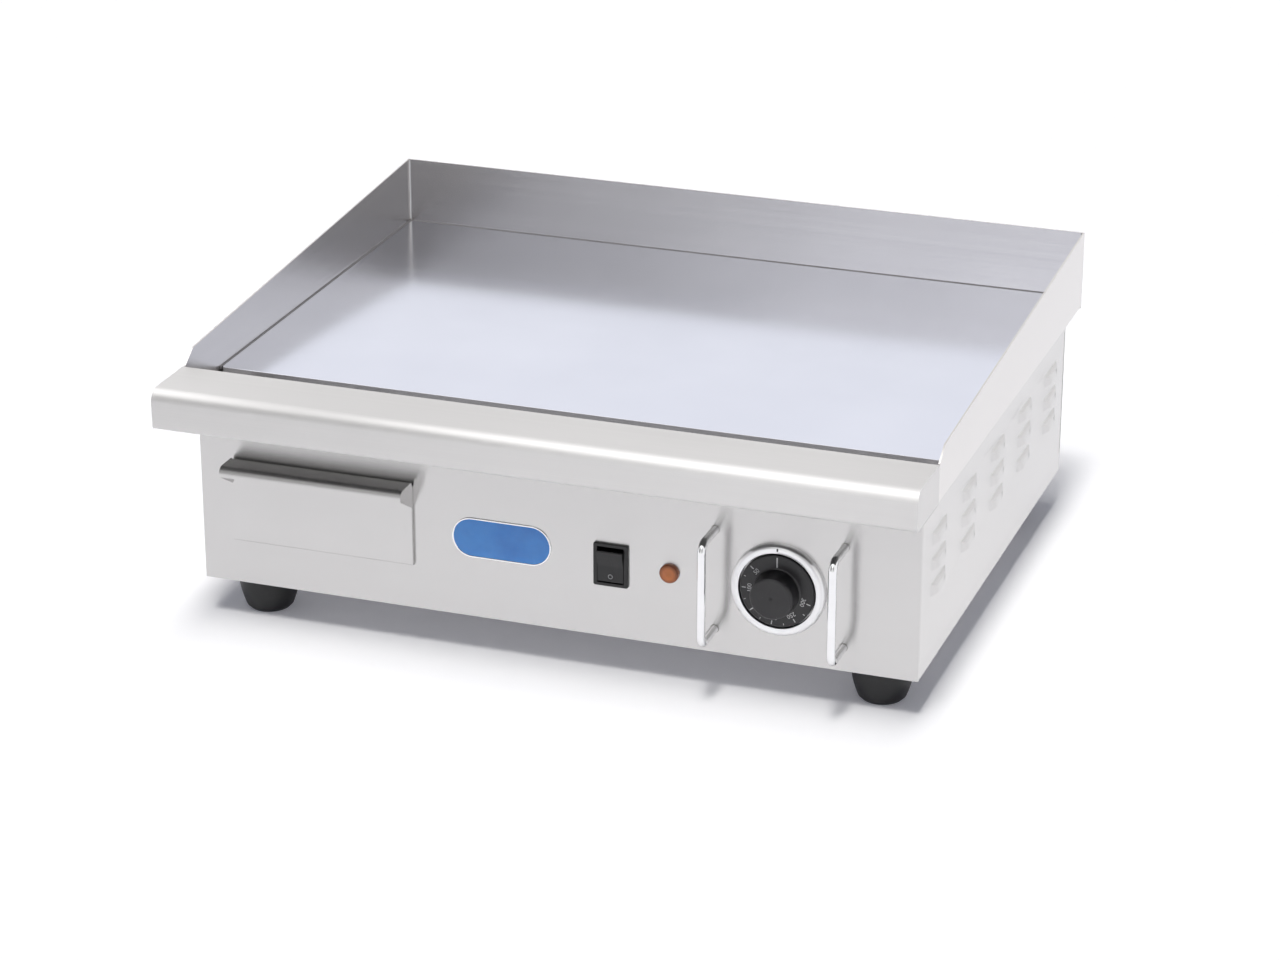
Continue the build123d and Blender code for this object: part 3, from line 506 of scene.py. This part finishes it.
def plainMesh(holder, name):
    graph = bpy.context.evaluated_depsgraph_get()
    mesh = bpy.data.meshes.new_from_object(holder.evaluated_get(graph))
    mesh.name = name
    return mesh


def joinMeshes(meshes, name):
    shape = bmesh.new()
    for mesh in meshes:
        shape.from_mesh(mesh)
    joined = bpy.data.meshes.new(name)
    shape.to_mesh(joined)
    shape.free()
    return joined


def smoothFaces(mesh, angle=35):
    mesh.polygons.foreach_set("use_smooth", [True] * len(mesh.polygons))
    mesh.set_sharp_from_angle(angle=math.radians(angle))


def circleRow(shape, radius, height, steps):
    if radius == 0:
        return [shape.verts.new((0, 0, height * mm))] * steps
    row = []
    for i in range(steps):
        turn = 2 * math.pi * i / steps
        x, y = radius * math.cos(turn) * mm, radius * math.sin(turn) * mm
        row.append(shape.verts.new((x, y, height * mm)))
    return row


def bridgeRows(shape, rows):
    for a, b in zip(rows, rows[1:]):
        for i in range(len(a)):
            j = (i + 1) % len(a)
            shape.faces.new(list(dict.fromkeys((a[i], a[j], b[j], b[i]))))


def capRows(shape, first, last):
    shape.faces.new(list(reversed(first)))
    shape.faces.new(last)


# A node tree's pattern goes to each point, turned by spin, as real faces in one material
def setOnPoints(tree, given, result, points, pattern, spin):
    shape = addNode(tree, "GeometryNodeObjectInfo")
    tree.links.new(given.outputs[pattern], shape.inputs["Object"])
    onPoints = addNode(tree, "GeometryNodeInstanceOnPoints")
    tree.links.new(points, onPoints.inputs["Points"])
    tree.links.new(shape.outputs["Geometry"], onPoints.inputs["Instance"])
    tree.links.new(spin, onPoints.inputs["Rotation"])
    real = addNode(tree, "GeometryNodeRealizeInstances")
    tree.links.new(onPoints.outputs["Instances"], real.inputs["Geometry"])
    paint = addNode(tree, "GeometryNodeSetMaterial")
    tree.links.new(real.outputs["Geometry"], paint.inputs["Geometry"])
    tree.links.new(given.outputs["Material"], paint.inputs["Material"])
    tree.links.new(paint.outputs["Geometry"], result.inputs["Geometry"])


def growMesh(tree, values, points=()):
    holder = bpy.data.objects.new(tree.name, bpy.data.meshes.new(tree.name))
    holder.data.from_pydata(list(points), [], [])
    addTree(holder, tree, values)
    scene.collection.objects.link(holder)
    mesh = plainMesh(holder, tree.name)
    bpy.data.objects.remove(holder)
    return mesh


panelFace = -179.5


def onPanel(x, z):
    return Matrix.Translation((x * mm, panelFace * mm, z * mm)) @ Matrix.Rotation(math.radians(90), 4, "X")


# Dial print: a pointer line, the temperatures and their ticks; a tick is start, length, width
inkFeel = {"rough": (0.4, 0.55), "size": 200.0, "skin": (1500.0, 0.03)}
whitePrint = plainFinish("whitePrint", (0.66, 0.66, 0.66), (0.78, 0.78, 0.78), **inkFeel)
palePrint = plainFinish("palePrint", (0.34, 0.34, 0.35), (0.42, 0.42, 0.43), **inkFeel)
darkPrint = plainFinish("darkPrint", (0.02, 0.02, 0.02), (0.035, 0.035, 0.035), **inkFeel)
dialPrint = {
    "centre": (166.0, 85.5),
    "face": 5.6,
    "raised": 0.10,
    "numbers": ["50", "100", "150", "200", "250", "300"],
    "first": 49.0,
    "step": 41.0,
    "textSize": 4.4,
    "textSteps": 4,
    "textRadius": 19.2,
    "fullTick": (22.0, 2.9, 0.65),
    "halfTick": (23.4, 1.5, 0.5),
    "pointer": (17.6, 25.0, 0.95),
}
barSpec = {"round": 0.3, "steps": 3, "profile": 0.5}


def flatText(words, size, thick):
    curve = bpy.data.curves.new("dialText", "FONT")
    curve.body = words
    curve.size = size * mm
    curve.extrude = thick * mm / 2
    curve.align_x = "CENTER"
    curve.align_y = "CENTER"
    curve.resolution_u = dialPrint["textSteps"]
    holder = bpy.data.objects.new("dialText", curve)
    scene.collection.objects.link(holder)
    mesh = plainMesh(holder, "dialText")
    bpy.data.objects.remove(holder)
    return mesh


def printBar(width, length, thick):
    def build(shape):
        bmesh.ops.create_cube(shape, size=1.0)
        bmesh.ops.scale(shape, vec=(width * mm, length * mm, thick * mm), verts=shape.verts)
        upright = [e for e in shape.edges if abs(e.verts[0].co.z - e.verts[1].co.z) > 1e-6]
        bmesh.ops.bevel(
            shape,
            geom=upright,
            offset=width * mm * barSpec["round"],
            segments=barSpec["steps"],
            affect="EDGES",
            profile=barSpec["profile"],
        )

    return meshFrom(build, "printBar")


# Ticks repeat round the dial: a node tree turns one bar to each step
def makeTickTree():
    inputs = [("Bar", "Object", None), ("Count", "Int", None), ("First", "Float", None)]
    inputs += [("Step", "Float", None), ("Radius", "Float", None), ("Material", "Material", None)]
    tree, given, result = newGroup("Geometry", "dialTicks", inputs, shapeOut)
    points = addNode(tree, "GeometryNodePoints")
    order = addNode(tree, "GeometryNodeInputIndex")
    turn = mathNode(tree, "MULTIPLY", order.outputs[0], given.outputs["Step"])
    turn = mathNode(tree, "ADD", turn, given.outputs["First"])
    spin = addNode(tree, "ShaderNodeCombineXYZ")
    tree.links.new(turn, spin.inputs["Z"])
    away = addNode(tree, "ShaderNodeCombineXYZ")
    tree.links.new(given.outputs["Radius"], away.inputs["Y"])
    around = addNode(tree, "ShaderNodeVectorRotate", rotation_type="EULER_XYZ")
    tree.links.new(away.outputs[0], around.inputs["Vector"])
    tree.links.new(spin.outputs[0], around.inputs["Rotation"])
    tree.links.new(given.outputs["Count"], points.inputs["Count"])
    tree.links.new(around.outputs[0], points.inputs["Position"])
    setOnPoints(tree, given, result, points.outputs[0], "Bar", spin.outputs[0])
    return tree


faceLift = dialPrint["face"] * mm
inkThick = 2 * dialPrint["raised"]
dialMeshes = []
for order, words in enumerate(dialPrint["numbers"]):
    mesh = flatText(words, dialPrint["textSize"], inkThick)
    turn = dialPrint["first"] + order * dialPrint["step"]
    around = Matrix.Rotation(math.radians(turn), 4, "Z")
    mesh.transform(around @ Matrix.Translation((0, dialPrint["textRadius"] * mm, faceLift)))
    dialMeshes.append(mesh)
pointerFrom, pointerTo, pointerWidth = dialPrint["pointer"]
pointer = printBar(pointerWidth, pointerTo - pointerFrom, inkThick)
pointer.transform(Matrix.Translation((0, (pointerFrom + pointerTo) / 2 * mm, faceLift)))
dialMeshes.append(pointer)
tickTree = makeTickTree()
numberCount = len(dialPrint["numbers"])
between = dialPrint["first"] + dialPrint["step"] / 2
tickRows = [(dialPrint["fullTick"], numberCount, dialPrint["first"])]
tickRows += [(dialPrint["halfTick"], numberCount - 1, between)]
for (start, length, width), count, first in tickRows:
    tickBar = bpy.data.objects.new("tickBar", printBar(width, length, inkThick))  # a pattern, not shown
    values = {
        "Bar": tickBar,
        "Count": count,
        "First": math.radians(first),
        "Step": math.radians(dialPrint["step"]),
        "Radius": (start + length / 2) * mm,
        "Material": whitePrint,
    }
    ticks = growMesh(tickTree, values)
    ticks.transform(Matrix.Translation((0, 0, faceLift)))
    dialMeshes.append(ticks)
    bpy.data.objects.remove(tickBar)
dialMesh = joinMeshes(dialMeshes, "dialPrint")
dialMesh.transform(onPanel(*dialPrint["centre"]))
newPiece("dialPrint", dialMesh, whitePrint, "dial")

# Index mark on the bezel, over the pointer
bezelMark = {"radius": 30.4, "face": 5.5, "width": 1.1, "length": 2.2, "raised": 0.06}
mark = printBar(bezelMark["width"], bezelMark["length"], 2 * bezelMark["raised"])
mark.transform(Matrix.Translation((0, bezelMark["radius"] * mm, bezelMark["face"] * mm)))
mark.transform(onPanel(*dialPrint["centre"]))
newPiece("bezelMark", mark, darkPrint, "housing")
print("dial printed")

# Rocker marks lie on its two sloping faces, tilted with it at rest
rockerMarks = {
    "centre": (45.0, 85.5),
    "pivot": -2.5,
    "tilt": 8.0,
    "span": 12.3,
    "tip": 4.0,
    "valley": 2.4,
    "reach": 7.6,
    "ringRadius": (1.25, 1.75),
    "ringSteps": 40,
    "strokeSize": (0.6, 3.6),
    "raised": 0.06,
}


def flatRing(inner, outer, thick, steps):
    def build(shape):
        profile = ((inner, -thick), (inner, thick), (outer, thick), (outer, -thick))
        rows = [circleRow(shape, radius, height, steps) for radius, height in profile]
        bridgeRows(shape, rows + rows[:1])

    return meshFrom(build, "flatRing")


slope = math.atan2(rockerMarks["tip"] - rockerMarks["valley"], rockerMarks["span"])
markLift = rockerMarks["valley"] + rockerMarks["reach"] * math.tan(slope)
restTilt = Matrix.Translation((0, 0, rockerMarks["pivot"] * mm))
restTilt = restTilt @ Matrix.Rotation(math.radians(rockerMarks["tilt"]), 4, "X")
restTilt = restTilt @ Matrix.Translation((0, 0, -rockerMarks["pivot"] * mm))
offRing = flatRing(*rockerMarks["ringRadius"], rockerMarks["raised"], rockerMarks["ringSteps"])
onStroke = printBar(*rockerMarks["strokeSize"], 2 * rockerMarks["raised"])
markRows = [("rockerOffMark", offRing, palePrint, -1)]
markRows += [("rockerOnMark", onStroke, finishes["switch_black"], 1)]
for name, mesh, material, side in markRows:
    onFace = Matrix.Translation((0, side * rockerMarks["reach"] * mm, markLift * mm))
    mesh.transform(onFace @ Matrix.Rotation(side * slope, 4, "X"))
    mesh.transform(onPanel(*rockerMarks["centre"]) @ restTilt)
    newPiece(name, mesh, material, "rocker")

# Blank plate on the panel: blue enamel in a bright rim
plateSpec = {
    "centre": (-36.0, 91.0),
    "width": 74.0,
    "height": 30.0,
    "thick": 0.8,
    "rim": 1.3,
    "sunk": 0.25,
    "steps": 24,
    "shoulder": 0.55,
    "rimRounds": (0.25, 0.2),
    "clear": 0.02,
    "fieldFoot": 0.05,
    "fieldRound": (0.4, 0.1),
    "dome": (5, 0.12),
}
enamelBlue = plainFinish(
    "enamelBlue", (0.025, 0.22, 0.72), (0.05, 0.32, 0.86),
    (0.16, 0.26), 0.0, 25.0, (700.0, 0.02), 0.5,
)


def stadium(width, height, steps):
    radius = height / 2
    flat = width / 2 - radius
    points = []
    for side, start in ((1, -90), (-1, 90)):
        for i in range(steps + 1):
            turn = math.radians(start + 180 * i / steps)
            points.append((side * flat + radius * math.cos(turn), radius * math.sin(turn)))
    return points


def stadiumMesh(profile, name):
    width, height, steps = (plateSpec[k] for k in ("width", "height", "steps"))

    def build(shape):
        rows = []
        for inset, lift in profile:
            points = stadium(width - 2 * inset, height - 2 * inset, steps)
            rows.append([shape.verts.new((x * mm, y * mm, lift * mm)) for x, y in points])
        bridgeRows(shape, rows)
        capRows(shape, rows[0], rows[-1])

    return meshFrom(build, name)


thick, rim, clear = (plateSpec[k] for k in ("thick", "rim", "clear"))
fieldTop = thick - plateSpec["sunk"]
outerRound, innerRound = plateSpec["rimRounds"]
rimProfile = [(0, 0), (0, thick * plateSpec["shoulder"]), (outerRound, thick)]
rimProfile += [(rim - innerRound, thick), (rim, fieldTop), (rim, clear)]
roundIn, roundDown = plateSpec["fieldRound"]
domeIn, domeRise = plateSpec["dome"]
fieldProfile = [(rim + clear, plateSpec["fieldFoot"]), (rim + clear, fieldTop - roundDown)]
fieldProfile += [(rim + roundIn, fieldTop), (rim + domeIn, fieldTop + domeRise)]
platePieces = [("nameplateRim", rimProfile, finishes["bright_chrome"], "bright_chrome")]
platePieces += [("nameplateField", fieldProfile, enamelBlue, None)]
for name, profile, material, slot in platePieces:
    mesh = stadiumMesh(profile, name)
    smoothFaces(mesh)
    mesh.transform(onPanel(*plateSpec["centre"]))
    newPiece(name, mesh, material, "housing")
print("rocker and plate finished")

# Rear screws: one cross-recessed pan head, set at four places with its own turn
screwSpec = {
    "places": [(258.4, 55.2), (258.4, 134.0), (-258.4, 55.2), (-258.4, 134.0)],
    "face": 226.0,
    "head": 3.8,
    "rise": 2.2,
    "pan": [(1, 0), (1, 0.35), (0.94, 0.62), (0.78, 0.84), (0.5, 0.97), (0, 1)],
    "shank": 2.0,
    "length": 7.0,
    "point": (0.6, 1.0),
    "steps": 32,
    "cross": (2.6, 0.85, 1.4),
    "crossTaper": (0.45, 1.15),
    "crossOver": 0.5,
    "seed": 7,
}


def lathe(points, steps, name):
    def build(shape):
        bridgeRows(shape, [circleRow(shape, radius, height, steps) for radius, height in points])

    return meshFrom(build, name)


def crossArm():
    arm, wide, deep = screwSpec["cross"]
    lifts = (screwSpec["rise"] - deep, screwSpec["rise"] + screwSpec["crossOver"])

    def build(shape):
        rows = []
        for lift, taper in zip(lifts, screwSpec["crossTaper"]):
            x, y = arm * taper * mm, wide / 2 * taper * mm
            corners = ((x, y), (-x, y), (-x, -y), (x, -y))
            rows.append([shape.verts.new((*corner, lift * mm)) for corner in corners])
        capRows(shape, *rows)
        bridgeRows(shape, rows)

    return meshFrom(build, "crossArm")


def screwHead():
    head, rise, shank, length = (screwSpec[k] for k in ("head", "rise", "shank", "length"))
    tip, chamfer = screwSpec["point"]
    points = [(0, -length), (shank * tip, -length), (shank, chamfer - length), (shank, 0)]
    points += [(head * out, rise * up) for out, up in screwSpec["pan"]]
    body = bpy.data.objects.new("screwHead", lathe(points, screwSpec["steps"], "screwHead"))
    scene.collection.objects.link(body)
    cutters = []
    for turn in (0, 90):
        arm = crossArm()
        arm.transform(Matrix.Rotation(math.radians(turn), 4, "Z"))
        cutter = bpy.data.objects.new("crossArm", arm)
        scene.collection.objects.link(cutter)
        cut = body.modifiers.new("cross", "BOOLEAN")
        cut.operation = "DIFFERENCE"
        cut.solver = "EXACT"
        cut.object = cutter
        cutters.append(cutter)
    mesh = plainMesh(body, "screwHead")
    for spare in (body, *cutters):
        bpy.data.objects.remove(spare)
    smoothFaces(mesh)
    return mesh


def makeScrewTree():
    inputs = [("Geometry", "Geometry", None), ("Screw", "Object", None)]
    inputs += [("Seed", "Int", None), ("Material", "Material", None)]
    tree, given, result = newGroup("Geometry", "rearScrews", inputs, shapeOut)
    anyTurn = addNode(tree, "FunctionNodeRandomValue", data_type="FLOAT")
    most = next(s for s in anyTurn.inputs if s.type == "VALUE" and s.name == "Max")
    most.default_value = 2 * math.pi
    tree.links.new(given.outputs["Seed"], anyTurn.inputs["Seed"])
    turned = next(s for s in anyTurn.outputs if s.type == "VALUE")
    spin = addNode(tree, "ShaderNodeCombineXYZ")
    tree.links.new(turned, spin.inputs["Z"])
    setOnPoints(tree, given, result, given.outputs["Geometry"], "Screw", spin.outputs[0])
    return tree


screwPattern = bpy.data.objects.new("screwPattern", screwHead())  # a pattern, not shown
screwValues = {"Screw": screwPattern, "Seed": screwSpec["seed"], "Material": finishes["zinc_steel"]}
screwPoints = [(-x * mm, z * mm, 0) for x, z in screwSpec["places"]]
screwMesh = growMesh(makeScrewTree(), screwValues, screwPoints)
bpy.data.objects.remove(screwPattern)
facingBack = Matrix.Rotation(math.pi, 4, "Z") @ Matrix.Rotation(math.pi / 2, 4, "X")
screwMesh.transform(Matrix.Translation((0, screwSpec["face"] * mm, 0)) @ facingBack)
newPiece("rearScrews", screwMesh, finishes["zinc_steel"], "housing", ["casing_screws"])
print("rear screws set")

# Joints of the splash guard: sealant round the plate, its dark grey partly painted shade in the join, and a
# polished weld up each rear corner
jointSpec = {
    "side": 273.75,
    "rear": 229.75,
    "front": -123.9,
    "plateSide": 272.7,
    "plateTop": 171.2,
    "guardTop": 221.6,
    "width": 0.8,
    "rise": 0.5,
    "sunk": 2.0,
    "corner": 1.3,
    "lap": 0.02,
    "steps": 6,
}
# Dark grey bead: partly the sealant's own colour, partly painted shade where the plate meets the guard
sealGrey = plainFinish(
    "sealGrey", (0.17, 0.165, 0.17), (0.21, 0.205, 0.21),
    (0.7, 0.85), 0.0, 60.0, (500.0, 0.08),
)
cornerSteel = plainFinish(
    "cornerSteel", (0.64, 0.62, 0.58), (0.72, 0.70, 0.66),
    (0.14, 0.24), 1.0, 60.0, (500.0, 0.03),
)
quarter = [math.radians(90 * i / jointSpec["steps"]) for i in range(jointSpec["steps"] + 1)]


def sealSection():
    width, rise, sunk, lap = (jointSpec[k] for k in ("width", "rise", "sunk", "lap"))
    hollow = [(width * (1 - math.cos(turn)), rise * (1 - math.sin(turn)) + lap) for turn in quarter]
    gap = jointSpec["side"] - jointSpec["plateSide"]
    return [(0, -sunk), *hollow, (gap, lap), (gap, -sunk)]


def sealBead(shape):
    stations = []
    for side, atRear in ((-1, False), (-1, True), (1, True), (1, False)):
        row = []
        for inset, lift in sealSection():
            depth = jointSpec["rear"] - inset if atRear else jointSpec["front"]
            place = (side * (jointSpec["side"] - inset), depth, jointSpec["plateTop"] + lift)
            row.append(shape.verts.new(Vector(place) * mm))
        stations.append(row)
    bridgeRows(shape, stations)
    capRows(shape, stations[0], stations[-1])


def cornerBeads(shape):
    radius, lap = jointSpec["corner"], jointSpec["lap"]
    outline = [(-lap, -lap)]
    outline += [(radius * (1 - math.sin(turn)), radius * (1 - math.cos(turn))) for turn in quarter]
    for side in (-1, 1):
        rows = []
        for z in (jointSpec["plateTop"] + lap, jointSpec["guardTop"]):
            places = [(side * (jointSpec["side"] - a), jointSpec["rear"] - b, z) for a, b in outline]
            rows.append([shape.verts.new(Vector(place) * mm) for place in places])
        capRows(shape, *rows)
        bridgeRows(shape, rows)


jointPieces = [("plateSeal", sealBead, sealGrey, None)]
jointPieces += [("cornerWelds", cornerBeads, cornerSteel, "stainless")]
for name, build, material, slot in jointPieces:
    mesh = meshFrom(build, name)
    smoothFaces(mesh)
    newPiece(name, mesh, material, "housing")
print("plate sealed, corners welded")

# Camera at the photograph's angle
cameraSpec = {
    "place": (0.8460, -2.3883, 1.1140),
    "aim": (0.0, 0.031, 0.0424),
    "roll": 0.12,
    "lens": 104.8,
    "sensor": 36.0,
    "shift": (-0.0084, 0.0177),
}
cameraData = bpy.data.cameras.new("camera")
cameraData.lens = cameraSpec["lens"]
cameraData.sensor_width = cameraSpec["sensor"]
cameraData.shift_x, cameraData.shift_y = cameraSpec["shift"]
camera = bpy.data.objects.new("camera", cameraData)
scene.collection.objects.link(camera)
towards = Vector(cameraSpec["aim"]) - Vector(cameraSpec["place"])
roll = Matrix.Rotation(math.radians(cameraSpec["roll"]), 3, "Z").to_quaternion()
camera.rotation_mode = "QUATERNION"
camera.rotation_quaternion = towards.to_track_quat("-Z", "Y") @ roll
camera.location = cameraSpec["place"]
scene.camera = camera

# Studio: pale floor, soft keys from the front to overhead, two strips, and a world that is white to the eye
studio = {
    "floorHalf": 14.0,
    "floorColour": (0.95, 0.95, 0.95),
    "floorRough": 0.9,
    "floorGlow": 0.10,
    "glowColour": (0.95, 0.96, 1.08),
    "worldFront": (0.98, 0.98, 0.98),
    "worldBack": (1.0, 0.995, 1.0),
    "worldTurn": (-0.9, 0.1),
    "dims": [
        ((-0.62, -0.73, 0.34), (0.895, 0.978), (0.25, 0.25, 0.25)),
        ((0.36, -0.86, 0.36), (0.93, 0.99), (0.34, 0.34, 0.34)),
        ((0.31, 0.87, 0.38), (0.90, 0.985), (0.92, 0.92, 0.92)),
    ],
    "ambientColour": (0.89, 0.93, 1.10),
    "ambient": 0.17,
    "keyColour": (1.0, 0.99, 0.975),
    "keys": [
        ("keyLow", (0.04, -0.52, 1.0), 11.0, 0.95),
        ("keyFront", (0.04, -0.40, 1.0), 11.0, 0.80),
        ("keyHigh", (0.04, -0.25, 1.0), 11.0, 0.60),
        ("keyAbove", (0.04, -0.05, 1.0), 14.0, 0.50),
    ],
    "strips": [
        ("stripLeft", (-1.26, -0.35, 1.9), (0.50, 1.90), 3.9),
        ("stripRight", (-0.42, -1.45, 1.9), (0.82, 2.60), 9.4),
    ],
}


def makeFloor():
    def build(shape):
        bmesh.ops.create_grid(shape, x_segments=1, y_segments=1, size=studio["floorHalf"])

    mesh = meshFrom(build, "floor")
    material, tree, shader, _ = newMaterial("floorPaper")
    setInputs(shader, Base_Color=(*studio["floorColour"], 1), Roughness=studio["floorRough"])
    glow = addNode(tree, "ShaderNodeEmission")
    setInputs(glow, Color=(*studio["glowColour"], 1))
    both = addNode(tree, "ShaderNodeAddShader")
    seen = addNode(tree, "ShaderNodeLightPath")
    eye = mathNode(tree, "MAXIMUM", seen.outputs["Is Camera Ray"], seen.outputs["Is Glossy Ray"])
    eye = mathNode(tree, "MAXIMUM", eye, seen.outputs["Is Transmission Ray"])
    tree.links.new(mathNode(tree, "MULTIPLY", eye, studio["floorGlow"]), glow.inputs["Strength"])
    tree.links.new(shader.outputs[0], both.inputs[0])
    tree.links.new(glow.outputs[0], both.inputs[1])
    tree.links.new(both.outputs[0], tree.nodes["Material Output"].inputs["Surface"])
    mesh.materials.append(material)
    floor = bpy.data.objects.new("floor", mesh)
    scene.collection.objects.link(floor)


def makeWorld():
    world = bpy.data.worlds.new("studioWorld")
    scene.world = world
    world.use_nodes = True
    tree = world.node_tree
    back = tree.nodes["Background"]
    facing = addNode(tree, "ShaderNodeTexCoord").outputs["Generated"]
    way = addNode(tree, "ShaderNodeSeparateXYZ")
    tree.links.new(facing, way.inputs[0])
    turned = spread(tree, way.outputs["Y"], 0, 1, *studio["worldTurn"])
    shade = blendColours(tree, turned, studio["worldFront"], studio["worldBack"])
    for towards, edge, colour in studio["dims"]:
        dim = addNode(tree, "ShaderNodeVectorMath", operation="DOT_PRODUCT")
        tree.links.new(facing, dim.inputs[0])
        dim.inputs[1].default_value = Vector(towards).normalized()
        shade = blendColours(tree, spread(tree, dim.outputs["Value"], 0, 1, *edge), shade, colour)
    path = addNode(tree, "ShaderNodeLightPath")
    mirrored = mathNode(tree, "MAXIMUM", path.outputs["Is Glossy Ray"], path.outputs["Is Transmission Ray"])
    colour = blendColours(tree, mirrored, studio["ambientColour"], shade)
    colour = blendColours(tree, path.outputs["Is Camera Ray"], colour, (1, 1, 1))
    tree.links.new(colour, back.inputs["Color"])
    eye = mathNode(tree, "MAXIMUM", path.outputs["Is Camera Ray"], mirrored)
    tree.links.new(spread(tree, eye, studio["ambient"], 1.0), back.inputs["Strength"])


makeFloor()
makeWorld()
for name, place, size, power in studio["strips"]:
    light = bpy.data.lights.new(name, "AREA")
    light.shape = "RECTANGLE"
    light.size, light.size_y = size
    light.energy = power
    strip = bpy.data.objects.new(name, light)
    strip.location = place
    strip.visible_diffuse = False  # the strips only shine in the metal
    scene.collection.objects.link(strip)
for name, source, width, strength in studio["keys"]:
    light = bpy.data.lights.new(name, "SUN")
    light.angle = math.radians(width)
    light.energy = strength
    light.color = studio["keyColour"]
    key = bpy.data.objects.new(name, light)
    key.rotation_mode = "QUATERNION"
    key.rotation_quaternion = Vector(source).to_track_quat("Z", "Y")
    key.visible_glossy = False  # the metal shows the strips, not the keys
    scene.collection.objects.link(key)
print("studio lit")
